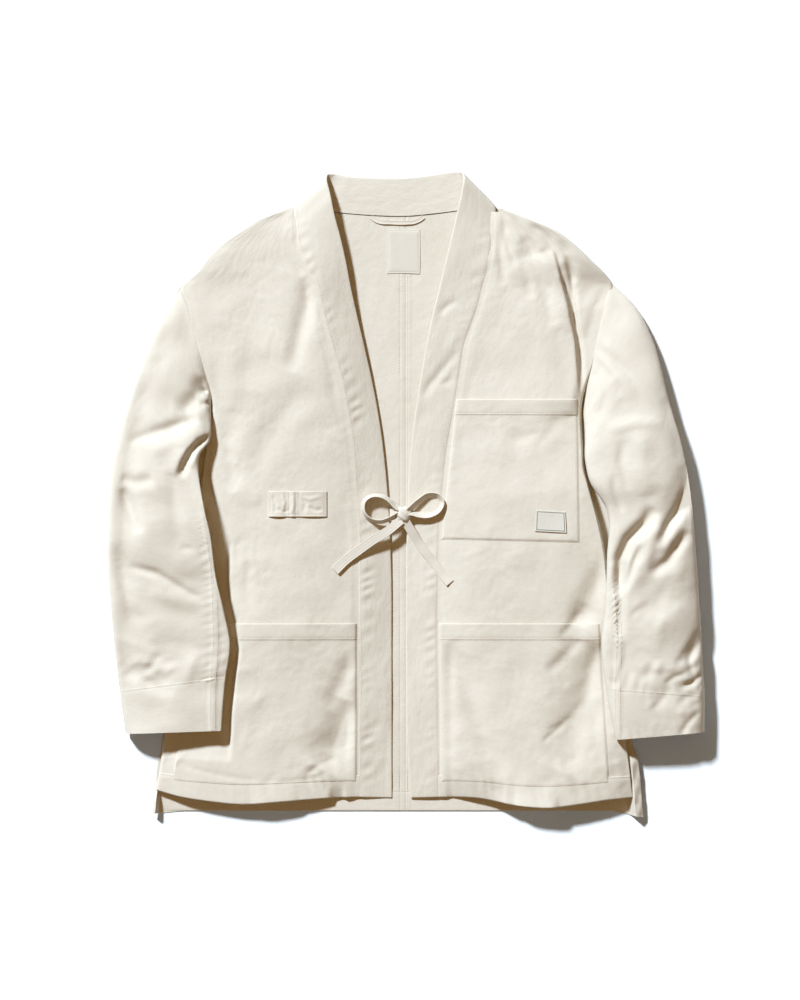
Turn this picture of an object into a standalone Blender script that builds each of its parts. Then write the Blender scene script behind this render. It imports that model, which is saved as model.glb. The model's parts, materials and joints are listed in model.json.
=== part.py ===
"""Noragi jacket laid flat on its back, with a band collar and a bow tied at the front.

Left and right are the wearer's. X runs to the wearer's left, Y from the hem to the collar,
and Z up from the surface that the jacket lies on. Tables and sizes are in millimetres.
"""
import math
from typing import NamedTuple

import bmesh
import bpy
from mathutils import Vector

MM = 0.001
WALL = 1.5
BAND_WALL = 2.6
TAPE_WALL = 2.0
LABEL_WALL = 1.0
SEAM_GAP = 0.3
FRONT_BASE = WALL + SEAM_GAP
POCKET_LAYER = WALL + SEAM_GAP

CENTRE_BACK_X = -1.0
UNDERARM_Y = 114.0
TAPE_WIDTH = 12.0

CREAM = (0.86, 0.81, 0.72)
LIGHT_CREAM = (0.88, 0.85, 0.78)
CLOTH_ROUGHNESS = 0.9
SHARP_ANGLE = math.radians(50)

PANEL_COLUMNS = 18
PANEL_ROW = 40.0
BACK_COLUMNS = 6
BAND_COLUMNS = 3
EDGE_HOLD = 6.0
FOLD_TAPER = 0.6


class Front(NamedTuple):
    """A row across a front: its two edges, and how far each edge and the middle stand up."""

    y: float
    side: float
    seam: float
    side_lift: float
    seam_lift: float
    belly: float


class Back(NamedTuple):
    """A row across half of the back, from the side to the centre back or the neck seam."""

    y: float
    side: float
    inner: float


class Chord(NamedTuple):
    """A ring of a sleeve: its outer and inner folds, their heights, and its crown's height."""

    outer_x: float
    outer_y: float
    inner_x: float
    inner_y: float
    outer_z: float
    inner_z: float
    crown: float
    roundness: float


class Across(NamedTuple):
    """A line across the collar band, from the seam to the free edge, through its middle."""

    seam_x: float
    seam_y: float
    seam_z: float
    edge_x: float
    edge_y: float
    edge_z: float


class Hem(NamedTuple):
    """How far the hem hangs below its level, at a share of the way from the side."""

    share: float
    drop: float


class BandEdge(NamedTuple):
    """The band's free edge beside a level of the seam."""

    y: float
    edge_x: float
    edge_y: float
    edge_z: float


class Fold(NamedTuple):
    """A trough between two points; a depth below zero makes a ridge."""

    x1: float
    y1: float
    x2: float
    y2: float
    width: float
    depth: float


class Corner(NamedTuple):
    """A corner of a piece that lies on a panel."""

    x: float
    y: float


class Along(NamedTuple):
    """A point along the middle of a tape, and the lean of its width from the level."""

    x: float
    y: float
    z: float
    lean: float


FRONT_RIGHT = (
    Front(-370, -305, -59.5, 3, 4, 14),
    Front(-320, -298.5, -59.5, 0, 4, 12),
    Front(-250, -289, -59, 0, 4, 10),
    Front(-180, -279, -59, 0, 4, 12),
    Front(-105, -268, -59.5, 0, 4, 12),
    Front(-32, -258, -60.5, 0, 5, 12),
    Front(53, -246, -66.5, 0, 8, 13),
    Front(114, -237.3, -75, 0, 11, 14),
    Front(150, -246, -83, 7.5, 13, 14),
    Front(185, -255, -93, 10, 15, 13),
    Front(221, -264, -103, 7.5, 16, 12),
    Front(257, -272.4, -112, 0, 16, 12),
    Front(270, -258, -118, 0, 15, 11),
    Front(285, -247, -128, 0, 13, 10),
    Front(304, -227.5, -133.5, 0, 10, 8),
    Front(324, -198, -135.5, 0, 6, 6),
    Front(334, -182, -136, 0, 4, 4),
    Front(343, -159, -136.3, 0, 2, 2),
    Front(348, -146, -136.5, 0, 0.6, 0.5),
)

FRONT_LEFT = (
    Front(-370, 275.5, 41, 4, 4, 20),
    Front(-320, 269.5, 40.5, 0, 4, 17),
    Front(-250, 260.5, 39.5, 0, 4, 14),
    Front(-180, 252, 38.5, 0, 4, 13),
    Front(-105, 242.5, 39, 0, 4, 12),
    Front(-32, 233.5, 41, 0, 4, 12),
    Front(53, 223, 49.5, 0, 5, 13),
    Front(114, 215.3, 60.5, 0, 7, 15),
    Front(150, 224, 66, 7.5, 9, 15),
    Front(185, 233, 71.5, 10, 11, 14),
    Front(221, 242, 85, 7.5, 12, 13),
    Front(257, 250.4, 94, 0, 12, 12),
    Front(270, 241, 97.5, 0, 12, 11),
    Front(285, 225.5, 100.5, 0, 11, 10),
    Front(304, 205.5, 103.5, 0, 8, 9),
    Front(321, 182.5, 105, 0, 6, 7),
    Front(334, 153, 106, 0, 4, 4),
    Front(343, 130, 106.7, 0, 2, 2),
    Front(348, 119, 107, 0, 0.6, 0.5),
)

HEM_RIGHT = (Hem(0, -9), Hem(0.1, -2), Hem(0.25, 4), Hem(0.42, 8), Hem(0.85, 1), Hem(1, 0))
HEM_LEFT = (Hem(0, 0), Hem(0.28, 9), Hem(0.49, 14), Hem(0.6, 11), Hem(0.8, 1), Hem(1, 0))
HEM_REACH = 70.0
VENT_TIP_DROP = 6.0
VENT_TIP_SHARE = 0.2

FOLDS_RIGHT = (
    Fold(-125, 136, -209, 16, 15, 3.5),
    Fold(-145, 212, -157, 147, 11, 2.5),
    Fold(-99, 187, -84, 92, 9, 2),
    Fold(-115, -270, -156, -312, 13, 2.5),
    Fold(-225, 90, -180, 110, 12, 3),
    Fold(-190, -130, -120, -60, 16, 2),
    Fold(-262, -320, -250, -370, 12, 3),
    Fold(-105, -330, -120, -370, 14, 3),
)

FOLDS_LEFT = (
    Fold(190, 297, 206, 229, 9, 6),
    Fold(206, 229, 217, 134, 9, 6),
    Fold(176, 297, 194, 229, 10, -2.5),
    Fold(194, 229, 207, 134, 10, -2.5),
    Fold(104, 313, 115, 258, 9, 2.5),
    Fold(137, 293, 164, 220, 11, 3),
    Fold(46, -174, 70, -243, 14, 3),
    Fold(70, -243, 104, -333, 14, 3),
    Fold(210, -174, 166, -215, 13, 3),
    Fold(207, -202, 166, -318, 15, 3.5),
    Fold(126, 65, 164, 76, 10, 1.5),
    Fold(120, -330, 125, -370, 15, 4),
)

BACK_RIGHT = (
    Back(-387, -311, CENTRE_BACK_X),
    Back(-320, -303, CENTRE_BACK_X),
    Back(-100, -267.5, CENTRE_BACK_X),
    Back(114, -237.3, CENTRE_BACK_X),
    Back(257, -272.4, CENTRE_BACK_X),
    Back(285, -247, CENTRE_BACK_X),
    Back(304, -227.5, CENTRE_BACK_X),
    Back(324, -198, CENTRE_BACK_X),
    Back(337.6, -172, CENTRE_BACK_X),
    Back(340.5, -165, -80),
    Back(344, -156, -118),
    Back(347, -148, -134),
)

BACK_LEFT = (
    Back(-387, 286, CENTRE_BACK_X),
    Back(-322, 277, CENTRE_BACK_X),
    Back(-100, 243, CENTRE_BACK_X),
    Back(114, 215.3, CENTRE_BACK_X),
    Back(257, 250.4, CENTRE_BACK_X),
    Back(285, 225.5, CENTRE_BACK_X),
    Back(304, 205.5, CENTRE_BACK_X),
    Back(324, 176, CENTRE_BACK_X),
    Back(337.6, 142, CENTRE_BACK_X),
    Back(341.5, 134, 40),
    Back(345, 125, 75),
    Back(347.5, 119, 104),
)

SLEEVE_SECTIONS = 20
SLEEVE_AROUND = 24
SLEEVE_CLEAR = 1.2
SLEEVE_EDGE_HALF = WALL + SEAM_GAP / 2
SLEEVE_PRESS_SPREAD = 1.2
SLEEVE_PRESS_LIMIT = 0.6
SLEEVE_UNDER_ROUNDNESS = 0.7
POCKET_TOP_Y = -120.0
POCKET_EASE = 25.0
BODY_EDGE_REACH = 26.0
UNDERARM_EASE_START = 10.0
UNDERARM_EASE = 60.0
SLOPE_STEP = 0.01

SLEEVE_RIGHT = (
    Chord(-273, 256.6, -238.2, 114.2, 1.65, 1.65, 13.3, 2.0),
    Chord(-297, 214, -240.5, 99, 6, 5, 21, 1.3),
    Chord(-318, 169, -244, 84, 9, 9, 28, 1.0),
    Chord(-337, 112, -249, 65, 11, 12, 33, 0.9),
    Chord(-353, 57, -253.5, 44, 12, 14, 35, 0.85),
    Chord(-361, -8, -248, -16, 12, 18, 36, 0.8),
    Chord(-362.7, -81, -237, -90, 12, 20, 36, 0.8),
    Chord(-359, -142, -223, -142, 12, 21, 36, 0.8),
    Chord(-353, -203, -214, -183, 12, 21, 35, 0.8),
    Chord(-348, -246, -221, -230, 13, 21, 34, 0.8),
    Chord(-342, -292, -225, -288, 14, 20, 32, 0.85),
)

SLEEVE_LEFT = (
    Chord(251, 256.6, 216.2, 114.2, 1.65, 1.65, 13.3, 2.0),
    Chord(279, 228, 219, 99, 5, 5, 21, 1.3),
    Chord(298, 192, 221.3, 83, 8, 9, 27, 1.0),
    Chord(319, 114, 223.5, 64, 11, 12, 32, 0.9),
    Chord(335.5, 55, 225.5, 38, 12, 14, 34, 0.85),
    Chord(346, -8, 233, -12, 12, 15, 35, 0.8),
    Chord(352.5, -81, 243.5, -81, 12, 16, 35, 0.8),
    Chord(357, -144, 241, -142, 12, 18, 34, 0.8),
    Chord(360.5, -209, 237, -189, 12, 18, 33, 0.8),
    Chord(362.7, -246, 242.5, -236, 13, 18, 33, 0.8),
    Chord(362.5, -290, 254.5, -299, 14, 18, 32, 0.85),
)

SLEEVE_FOLDS_RIGHT = (
    Fold(-269, 147, -295, 105, 16, 7),
    Fold(-341, 69, -256, 95, 11, 4),
    Fold(-278, 24, -267, 57, 10, 7),
    Fold(-267, 57, -244, 78, 10, 7),
    Fold(-349, 7, -330, -47, 12, 4),
    Fold(-334, -84, -250, -118, 13, 4.5),
    Fold(-355, -59, -336, -137, 12, 4),
    Fold(-336, -137, -313, -193, 12, 4),
    Fold(-330, -212, -290, -232, 10, 3.5),
)

SLEEVE_FOLDS_LEFT = (
    Fold(232, 180, 284, 134, 14, 5),
    Fold(335, 3, 307, -59, 13, 5),
    Fold(307, -59, 291, -97, 12, 4),
    Fold(291, -21, 257, -75, 13, 4.5),
    Fold(257, -75, 255, -121, 11, 4),
    Fold(353, -143, 313, -208, 12, 4.5),
    Fold(262, -222, 300, -240, 10, 3),
)

BAND_RIGHT = (
    BandEdge(-370, -17.7, -371, 6),
    BandEdge(-180, -18, -182, 6),
    BandEdge(-105, -18.3, -105, 6.5),
    BandEdge(-32, -21, -30, 8),
    BandEdge(53, -29, 60, 13),
    BandEdge(114, -38.5, 120, 19),
    BandEdge(185, -57, 205, 26),
    BandEdge(257, -67, 280, 30),
    BandEdge(285, -74, 318, 30),
    BandEdge(304, -80, 340, 28),
)

BAND_LEFT = (
    BandEdge(-370, 5.3, -371, 5),
    BandEdge(-180, -0.4, -182, 5),
    BandEdge(-105, -0.4, -105, 5),
    BandEdge(-32, 0.8, -30, 5.5),
    BandEdge(53, 5.5, 56, 8.5),
    BandEdge(114, 14, 120, 12),
    BandEdge(185, 27, 195, 17),
    BandEdge(257, 44.5, 270, 22),
    BandEdge(285, 54, 310, 23),
    BandEdge(304, 61, 340, 22),
)

NECK = (
    Across(-135, 328, 8.5, -88, 364, 21),
    Across(-136.5, 349.5, 5, -95.5, 385, 13),
    Across(-134.5, 352, 2.6, -95, 389, 6),
    Across(-122, 348.5, 1.35, -90, 390, 2.2),
    Across(-80, 342.7, 1.3, -68, 386.5, 1.3),
    Across(-38, 339.4, 1.3, -36, 385, 1.3),
    Across(-1, 338.6, 1.3, -1, 385, 1.3),
    Across(34, 341.7, 1.3, 28, 388, 1.3),
    Across(72, 346.8, 1.35, 56, 392.3, 1.4),
    Across(93, 350.5, 1.5, 64, 392.6, 2.2),
    Across(105.5, 353, 2.6, 67.5, 391.5, 6),
    Across(107.5, 350.5, 5, 69, 387, 12),
    Across(104.8, 325, 7.5, 67, 367, 18),
)

POCKET_RIGHT = (Corner(-275.5, -352), Corner(-61, -352), Corner(-251.5, -158), Corner(-61, -158))
POCKET_LEFT = (Corner(247, -352), Corner(43, -352), Corner(233, -158), Corner(40.5, -158))
CHEST_POCKET = (Corner(210.5, -60), Corner(42, -60), Corner(208.5, 112), Corner(61, 112))
CHEST_PATCH = (Corner(197, -47), Corner(156, -47), Corner(197, -21), Corner(156, -21))
PEN_LOOPS = (Corner(-168, -28), Corner(-97, -28), Corner(-168, 3), Corner(-97, 3))
NECK_LABEL = (Corner(-24, 267), Corner(16, 267), Corner(-24, 321), Corner(16, 321))

PEN_DIVISIONS = (0.0, 0.34, 0.5, 1.0)
PEN_BULGE = 3.2
POCKET_GAPE = 2.0
POCKET_MOUTH_SHARE = 0.7
PATCH_GAP = 0.45
LEAST_STRIPE = 0.3

HANGER = (
    Along(-42, 336.3, 2.6, 0),
    Along(-34, 331.5, 2.6, 0),
    Along(-20, 330.5, 2.6, 0),
    Along(0, 330.5, 2.6, 0),
    Along(12, 331, 2.6, 0),
    Along(20, 336.3, 2.6, 0),
)
HANGER_WIDTH = 5.0

KNOT_PLACE = (-4.0, -25.5, 16.0)
KNOT_RADII = (9.8, 11.6, 6.0)

LOOP_RIGHT = (
    Along(-11.7, -17.4, 17.5, 70),
    Along(-20, -9, 18, 72),
    Along(-29, -3.5, 18, 74),
    Along(-41, -2.5, 18, 76),
    Along(-51.5, -10, 18, 76),
    Along(-52.5, -22, 18, 76),
    Along(-44.5, -31.5, 18, 74),
    Along(-33, -34.5, 18, 72),
    Along(-22, -31.5, 18, 70),
    Along(-14.4, -28.0, 17.5, 68),
)
LOOP_LEFT = (
    Along(4.5, -19.0, 16, 68),
    Along(15, -10, 15.5, 64),
    Along(28, -2.5, 15, 66),
    Along(38, -3.5, 15, 72),
    Along(44.5, -11, 15, 76),
    Along(39.5, -21.5, 15, 76),
    Along(27, -27.5, 15, 74),
    Along(15, -26.5, 15, 72),
    Along(7.0, -24.0, 15.5, 70),
)
TAIL_RIGHT = (
    Along(-10.6, -35.8, 18, 6),
    Along(-25, -47, 17.5, 3),
    Along(-42, -58, 15.5, 0),
    Along(-58, -69, 13.5, 0),
    Along(-72, -80, 12.4, 0),
    Along(-87, -94, 13.9, 0),
)
TAIL_LEFT = (
    Along(1.6, -38.3, 13.8, 0),
    Along(12, -56, 11, 0),
    Along(27, -76, 10.4, 0),
    Along(40, -93, 10.2, 0),
    Along(53, -109, 11.7, 0),
)
LEAD_RIGHT = (Along(-20.4, -24, 8.6, 0), Along(-16, -24, 9.4, 0), Along(-11, -24, 10, 0))
LEAD_LEFT = (Along(6.5, -27, 8.4, 0), Along(2, -27, 8.4, 0), Along(-3, -27, 8.6, 0))


def clear_scene():
    """Remove every object, so that the model starts from nothing."""
    for old in list(bpy.data.objects):
        bpy.data.objects.remove(old, do_unlink=True)


def cloth_material(name, colour):
    """A plain matt cloth of one colour."""
    material = bpy.data.materials.new(name)
    material.use_nodes = True
    shader = material.node_tree.nodes["Principled BSDF"]
    shader.inputs["Base Color"].default_value = (*colour, 1.0)
    shader.inputs["Roughness"].default_value = CLOTH_ROUGHNESS
    shader.inputs["Metallic"].default_value = 0.0
    return material


def straight(rows, column, at):
    """The column's value at a height, on straight lines between the rows."""
    below = rows[0]
    for above in rows[1:]:
        if at <= above.y:
            share = max(0.0, (at - below.y) / (above.y - below.y))
            low, high = getattr(below, column), getattr(above, column)
            return low + (high - low) * share
        below = above
    return getattr(below, column)


def hermite(low, high, slope_low, slope_high, share):
    """A cubic from low to high with the given slopes, each per whole span."""
    square = share * share
    cube = square * share
    start = (2 * cube - 3 * square + 1) * low + (cube - 2 * square + share) * slope_low
    end = (3 * square - 2 * cube) * high + (cube - square) * slope_high
    return start + end


def smooth(rows, place):
    """The row at a place counted in rows, on smooth curves through the rows."""
    first = min(int(place), len(rows) - 2)
    share = place - first
    before, after = max(first - 1, 0), min(first + 2, len(rows) - 1)
    columns = zip(rows[before], rows[first], rows[first + 1], rows[after])
    values = []
    for back, low, high, on in columns:
        slope_low = (high - back) / (first + 1 - before)
        slope_high = (on - low) / (after - first)
        values.append(hermite(low, high, slope_low, slope_high, share))
    return type(rows[0])(*values)


def spaced_places(rows, count, length):
    """Places for count spans along the rows, each about as long as the others."""
    sums = [0.0]
    for low, high in zip(rows, rows[1:]):
        sums.append(sums[-1] + length(low, high))
    places = []
    for step in range(count + 1):
        goal = sums[-1] * step / count
        row = max(i for i in range(len(rows) - 1) if sums[i] <= goal + 1e-9)
        places.append(row + (goal - sums[row]) / (sums[row + 1] - sums[row]))
    return places


def fold_depth(folds, x, y):
    """How far the folds press a panel down at a point."""
    depth = 0.0
    for fold in folds:
        run_x, run_y = fold.x2 - fold.x1, fold.y2 - fold.y1
        length = math.hypot(run_x, run_y)
        along = ((x - fold.x1) * run_x + (y - fold.y1) * run_y) / length**2
        held = min(max(along, 0.0), 1.0)
        off = math.hypot(x - fold.x1 - held * run_x, y - fold.y1 - held * run_y)
        taper = 1.0 - FOLD_TAPER * abs(2.0 * held - 1.0) ** 3
        depth += fold.depth * taper * math.exp(-((off / fold.width) ** 2))
    return depth


def front_share(rows, x, y):
    """How far across a front a point lies: 0 at the side and 1 at the band seam."""
    side, seam = straight(rows, "side", y), straight(rows, "seam", y)
    return (x - side) / (seam - side)


def front_under(rows, folds, x, y):
    """Height of a front's underside at a point."""
    share = min(max(front_share(rows, x, y), 0.0), 1.0)
    side_lift, seam_lift = straight(rows, "side_lift", y), straight(rows, "seam_lift", y)
    belly = straight(rows, "belly", y) * math.sin(math.pi * share)
    hold = min(1.0, EDGE_HOLD * min(share, 1.0 - share))
    lift = side_lift * (1.0 - share) + seam_lift * share + belly
    return FRONT_BASE + max(0.0, lift - hold * fold_depth(folds, x, y))


def wall_object(name, columns, rows, surface, material, closed=False):
    """Build a closed wall: surface(u, v, side) gives its lower (0) and upper (1) points."""
    mesh = bmesh.new()
    bmesh.ops.create_grid(mesh, x_segments=columns, y_segments=rows, size=0.5)
    place = mesh.verts.layers.float_vector.new("place")
    for vert in mesh.verts:
        vert[place] = vert.co + Vector((0.5, 0.5, 0.0))
        vert.co = surface(vert[place].x, vert[place].y, 0) * MM
    if closed:
        bmesh.ops.remove_doubles(mesh, verts=mesh.verts[:], dist=1e-6)
    made = bmesh.ops.extrude_face_region(mesh, geom=mesh.faces[:])
    for part in made["geom"]:
        if isinstance(part, bmesh.types.BMVert):
            part.co = surface(part[place].x, part[place].y, 1) * MM
    bmesh.ops.recalc_face_normals(mesh, faces=mesh.faces[:])
    return finished_object(name, mesh, material)


def finished_object(name, mesh, material):
    """Turn a bmesh into a named object with smooth shading and its material."""
    data = bpy.data.meshes.new(name)
    mesh.to_mesh(data)
    mesh.free()
    data.shade_smooth()
    data.set_sharp_from_angle(angle=SHARP_ANGLE)
    data.materials.append(material)
    made = bpy.data.objects.new(name, data)
    bpy.context.scene.collection.objects.link(made)
    return made


def panel_levels(rows):
    """The heights of a front's grid rows: the table's own, and some between them."""
    levels = []
    for low, high in zip(rows, rows[1:]):
        pieces = math.ceil((high.y - low.y) / PANEL_ROW)
        levels += [low.y + (high.y - low.y) * i / pieces for i in range(pieces)]
    return [*levels, rows[-1].y]


def hem_drop(rows, hem, u, y):
    """How far a front's point hangs below its level because of the hem's waves."""
    nearness = max(0.0, 1.0 - (y - rows[0].y) / HEM_REACH)
    for low, high in zip(hem, hem[1:]):
        if u <= high.share:
            share = max(0.0, (u - low.share) / (high.share - low.share))
            return nearness**2 * hermite(low.drop, high.drop, 0, 0, share)
    return 0.0


def front_point(rows, folds, hem, u, y):
    """A point of a front's underside, u across from the side."""
    start, end = straight(rows, "side", y), straight(rows, "seam", y)
    x = start + (end - start) * u
    return Vector((x, y - hem_drop(rows, hem, u, y), front_under(rows, folds, x, y)))


def front_facet(rows, folds, hem, u, y):
    """The same point on the flat facets between the front's own grid points."""
    levels = panel_levels(rows)
    row = max(i for i in range(len(levels) - 1) if levels[i] <= y)
    up = (y - levels[row]) / (levels[row + 1] - levels[row])
    column = min(int(u * PANEL_COLUMNS), PANEL_COLUMNS - 1)
    across = u * PANEL_COLUMNS - column
    edges = []
    for level in levels[row : row + 2]:
        start = front_point(rows, folds, hem, column / PANEL_COLUMNS, level)
        end = front_point(rows, folds, hem, (column + 1) / PANEL_COLUMNS, level)
        edges.append(start.lerp(end, across))
    return edges[0].lerp(edges[1], up)


def make_front(name, panel, material):
    """A front panel, from the hem to the shoulder and from the side to the band seam."""
    levels = panel_levels(panel[0])

    def surface(u, v, side):
        level = levels[round(v * (len(levels) - 1))]
        return front_point(*panel, u, level) + Vector((0, 0, side * WALL))

    return wall_object(name, PANEL_COLUMNS, len(levels) - 1, surface, material)


def make_back(name, rows, toward_side, tip_drop, material):
    """Half of the back, flat on the surface, with a hem that may drop to a tip at the vent."""
    places = [row.y for row in rows]

    def surface(u, v, side):
        y = places[round(v * (len(places) - 1))]
        start, end = straight(rows, "side", y), straight(rows, "inner", y)
        end += toward_side * SEAM_GAP / 2
        x = start + (end - start) * u
        if y == rows[0].y:
            y -= tip_drop * max(0.0, 1.0 - u / VENT_TIP_SHARE)
        return Vector((x, y, side * WALL))

    return wall_object(name, BACK_COLUMNS, len(places) - 1, surface, material)


def body_top(rows, folds, x, y):
    """Height that a sleeve has to clear at a point: the front with its pocket, or the floor."""
    share = front_share(rows, x, y)
    pocket = POCKET_LAYER * min(1.0, max(0.0, (POCKET_TOP_Y - y) / POCKET_EASE))
    if share >= 0:
        return front_under(rows, folds, x, y) + WALL + pocket + SLEEVE_CLEAR
    beside = abs(share * (straight(rows, "seam", y) - straight(rows, "side", y)))
    ease = min(1.0, max(0.0, (UNDERARM_Y - UNDERARM_EASE_START - y) / UNDERARM_EASE))
    near = max(0.0, 1.0 - beside / BODY_EDGE_REACH)
    return (FRONT_BASE + WALL + pocket + SLEEVE_CLEAR) * near * ease


def sleeve_outside(chord, folds, body, share, upper):
    """A point of a sleeve's outer face, share of the way from its outer fold to its inner."""
    x = chord.outer_x + (chord.inner_x - chord.outer_x) * share
    y = chord.outer_y + (chord.inner_y - chord.outer_y) * share
    edge = chord.outer_z + (chord.inner_z - chord.outer_z) * share
    hump = 2 * math.sqrt(max(0.0, share * (1 - share)))
    if upper:
        press = fold_depth(folds, x, y) * min(1.0, hump * SLEEVE_PRESS_SPREAD)
        rise = max(0.0, chord.crown - edge - SLEEVE_EDGE_HALF)
        lift = rise * hump**chord.roundness - min(press, SLEEVE_PRESS_LIMIT * rise)
        return Vector((x, y, edge + SLEEVE_EDGE_HALF + max(0.0, lift)))
    lies_flat = chord.outer_z <= SLEEVE_EDGE_HALF
    rest = 0.0 if lies_flat else body_top(*body, x, y)
    low = edge - SLEEVE_EDGE_HALF
    drop = max(0.0, low - rest) * hump ** (SLEEVE_UNDER_ROUNDNESS * chord.roundness)
    return Vector((x, y, max(low - drop, rest)))


def sleeve_inside(chord, folds, body, share, upper):
    """The point of a sleeve's inner face behind one of its outer face, a wall away."""
    width = math.hypot(chord.inner_x - chord.outer_x, chord.inner_y - chord.outer_y)
    inset = WALL / width
    held = min(max(share, inset), 1 - inset)
    top = sleeve_outside(chord, folds, body, held, True)
    bottom = sleeve_outside(chord, folds, body, held, False)
    ahead, behind = min(held + SLOPE_STEP, 1 - inset), max(held - SLOPE_STEP, inset)
    rise = sleeve_outside(chord, folds, body, ahead, upper).z
    rise -= sleeve_outside(chord, folds, body, behind, upper).z
    wall = WALL * math.hypot(1, rise / ((ahead - behind) * width))
    middle = (top.z + bottom.z) / 2
    if upper:
        return Vector((top.x, top.y, max(middle + SEAM_GAP / 2, top.z - wall)))
    return Vector((top.x, top.y, min(middle - SEAM_GAP / 2, bottom.z + wall)))


def make_sleeve(name, chords, folds, body, material):
    """A sleeve as a flattened tube, open at the armhole and at the cuff."""
    places = spaced_places(chords, SLEEVE_SECTIONS, chord_distance)

    def surface(u, v, side):
        chord = smooth(chords, places[round(v * SLEEVE_SECTIONS)])
        turn = 2 * math.pi * u
        upper = round(u * SLEEVE_AROUND) <= SLEEVE_AROUND // 2
        face = sleeve_outside if side == 1 else sleeve_inside
        return face(chord, folds, body, (1 - math.cos(turn)) / 2, upper)

    return wall_object(name, SLEEVE_AROUND, SLEEVE_SECTIONS, surface, material, closed=True)


def chord_distance(low, high):
    """Distance between the middles of two rings of a sleeve."""
    run_x = (low.outer_x + low.inner_x - high.outer_x - high.inner_x) / 2
    run_y = (low.outer_y + low.inner_y - high.outer_y - high.inner_y) / 2
    return math.hypot(run_x, run_y)


def band_rows(rows, folds, edges, toward_band):
    """Lines across the band at each of a front's own levels, up to the last of the edges."""
    made = []
    for y in panel_levels(rows):
        if y > edges[-1].y:
            break
        seam_x = straight(rows, "seam", y)
        seam_z = front_under(rows, folds, seam_x, y) + WALL / 2
        index = max(i for i in range(len(edges) - 1) if edges[i].y <= y)
        share = (y - edges[index].y) / (edges[index + 1].y - edges[index].y)
        edge = smooth(edges, index + share)
        seam = (seam_x + toward_band * SEAM_GAP, y, seam_z)
        made.append(Across(*seam, edge.edge_x, edge.edge_y, edge.edge_z))
    return made


def make_collar(name, right, left, material):
    """The band: up one front, over at the neck corners, round the neck, down the other."""
    neck = [smooth(NECK, half / 2) for half in range(2 * len(NECK) - 1)]
    up = band_rows(*right, BAND_RIGHT, 1)
    down = band_rows(*left, BAND_LEFT, -1)
    lines = [*up, *neck, *reversed(down)]

    def middle(u, index):
        row = lines[min(max(index, 0), len(lines) - 1)]
        return Vector(row[:3]).lerp(Vector(row[3:]), u)

    def surface(u, v, side):
        index = round(v * (len(lines) - 1))
        across = middle(1.0, index) - middle(0.0, index)
        along = middle(u, index + 1) - middle(u, index - 1)
        normal = across.cross(along).normalized()
        slant = math.hypot(normal.x, normal.y) * BAND_WALL / 2
        shift = across.normalized() * slant * (1 - u)
        point = middle(u, index) + shift + normal * (side - 0.5) * BAND_WALL
        point.z = max(point.z, 0.0)
        return point

    return wall_object(name, BAND_COLUMNS, len(lines) - 1, surface, material)


def between_corners(corners, u, v):
    """A point of a four-cornered piece; corners run outer and inner below, then above."""
    low_x = corners[0].x + (corners[1].x - corners[0].x) * u
    low_y = corners[0].y + (corners[1].y - corners[0].y) * u
    high_x = corners[2].x + (corners[3].x - corners[2].x) * u
    high_y = corners[2].y + (corners[3].y - corners[2].y) * u
    return low_x + (high_x - low_x) * v, low_y + (high_y - low_y) * v


def lines_between(start, end, lines):
    """Two places on a panel, with the panel's own grid lines that lie between them."""
    near = LEAST_STRIPE * (lines[1] - lines[0])
    inside = [line for line in lines if start + near < line < end - near]
    return [start, *inside, end]


def make_patch(name, corners, panel, lift, wall, material):
    """A piece that lies on a front, made from the front's own points moved out."""
    rows = panel[0]
    low, high = corners[0].y, corners[2].y
    levels = lines_between(low, high, panel_levels(rows))
    shares = [front_share(rows, corner.x, corner.y) for corner in corners]
    columns = [i / PANEL_COLUMNS for i in range(PANEL_COLUMNS + 1)]
    stripes = lines_between(max(shares[0], shares[2]), min(shares[1], shares[3]), columns)

    def surface(u, v, side):
        level = levels[round(v * (len(levels) - 1))]
        share_up = (level - low) / (high - low)
        start = shares[0] + (shares[2] - shares[0]) * share_up
        end = shares[1] + (shares[3] - shares[1]) * share_up
        column = round(u * (len(stripes) - 1))
        stripe = {0: start, len(stripes) - 1: end}.get(column, stripes[column])
        share = (stripe - start) / (end - start)
        point = front_facet(*panel, stripe, level)
        return point + Vector((0, 0, WALL + lift(share, share_up) + side * wall))

    return wall_object(name, len(stripes) - 1, len(levels) - 1, surface, material)


def make_label(name, corners, material):
    """A flat four-cornered piece that lies on the back."""

    def surface(u, v, side):
        x, y = between_corners(corners, u, v)
        return Vector((x, y, WALL + SEAM_GAP + side * LABEL_WALL))

    return wall_object(name, 2, 2, surface, material)


def make_tape(name, rows, width, wall, count, material):
    """A flat tape along a route, leaning as its table says."""

    def centre(place):
        return smooth(rows, min(max(place, 0.0), len(rows) - 1.0))

    def surface(u, v, side):
        place = v * (len(rows) - 1)
        row, before, after = centre(place), centre(place - 0.1), centre(place + 0.1)
        along = (Vector(after[:3]) - Vector(before[:3])).normalized()
        level = Vector((0, 0, 1)).cross(along).normalized()
        up = along.cross(level)
        lean = math.radians(row.lean)
        across = level * math.cos(lean) + up * math.sin(lean)
        normal = across.cross(along)
        return Vector(row[:3]) + across * (u - 0.5) * width + normal * (side - 0.5) * wall

    return wall_object(name, 2, count, surface, material)


def make_knot(name, material):
    """The knot of the bow, a small rounded lump."""
    mesh = bmesh.new()
    bmesh.ops.create_uvsphere(mesh, u_segments=14, v_segments=8, radius=MM)
    bmesh.ops.scale(mesh, verts=mesh.verts[:], vec=Vector(KNOT_RADII))
    bmesh.ops.translate(mesh, verts=mesh.verts[:], vec=Vector(KNOT_PLACE) * MM)
    bmesh.ops.recalc_face_normals(mesh, faces=mesh.faces[:])
    return finished_object(name, mesh, material)


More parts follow.
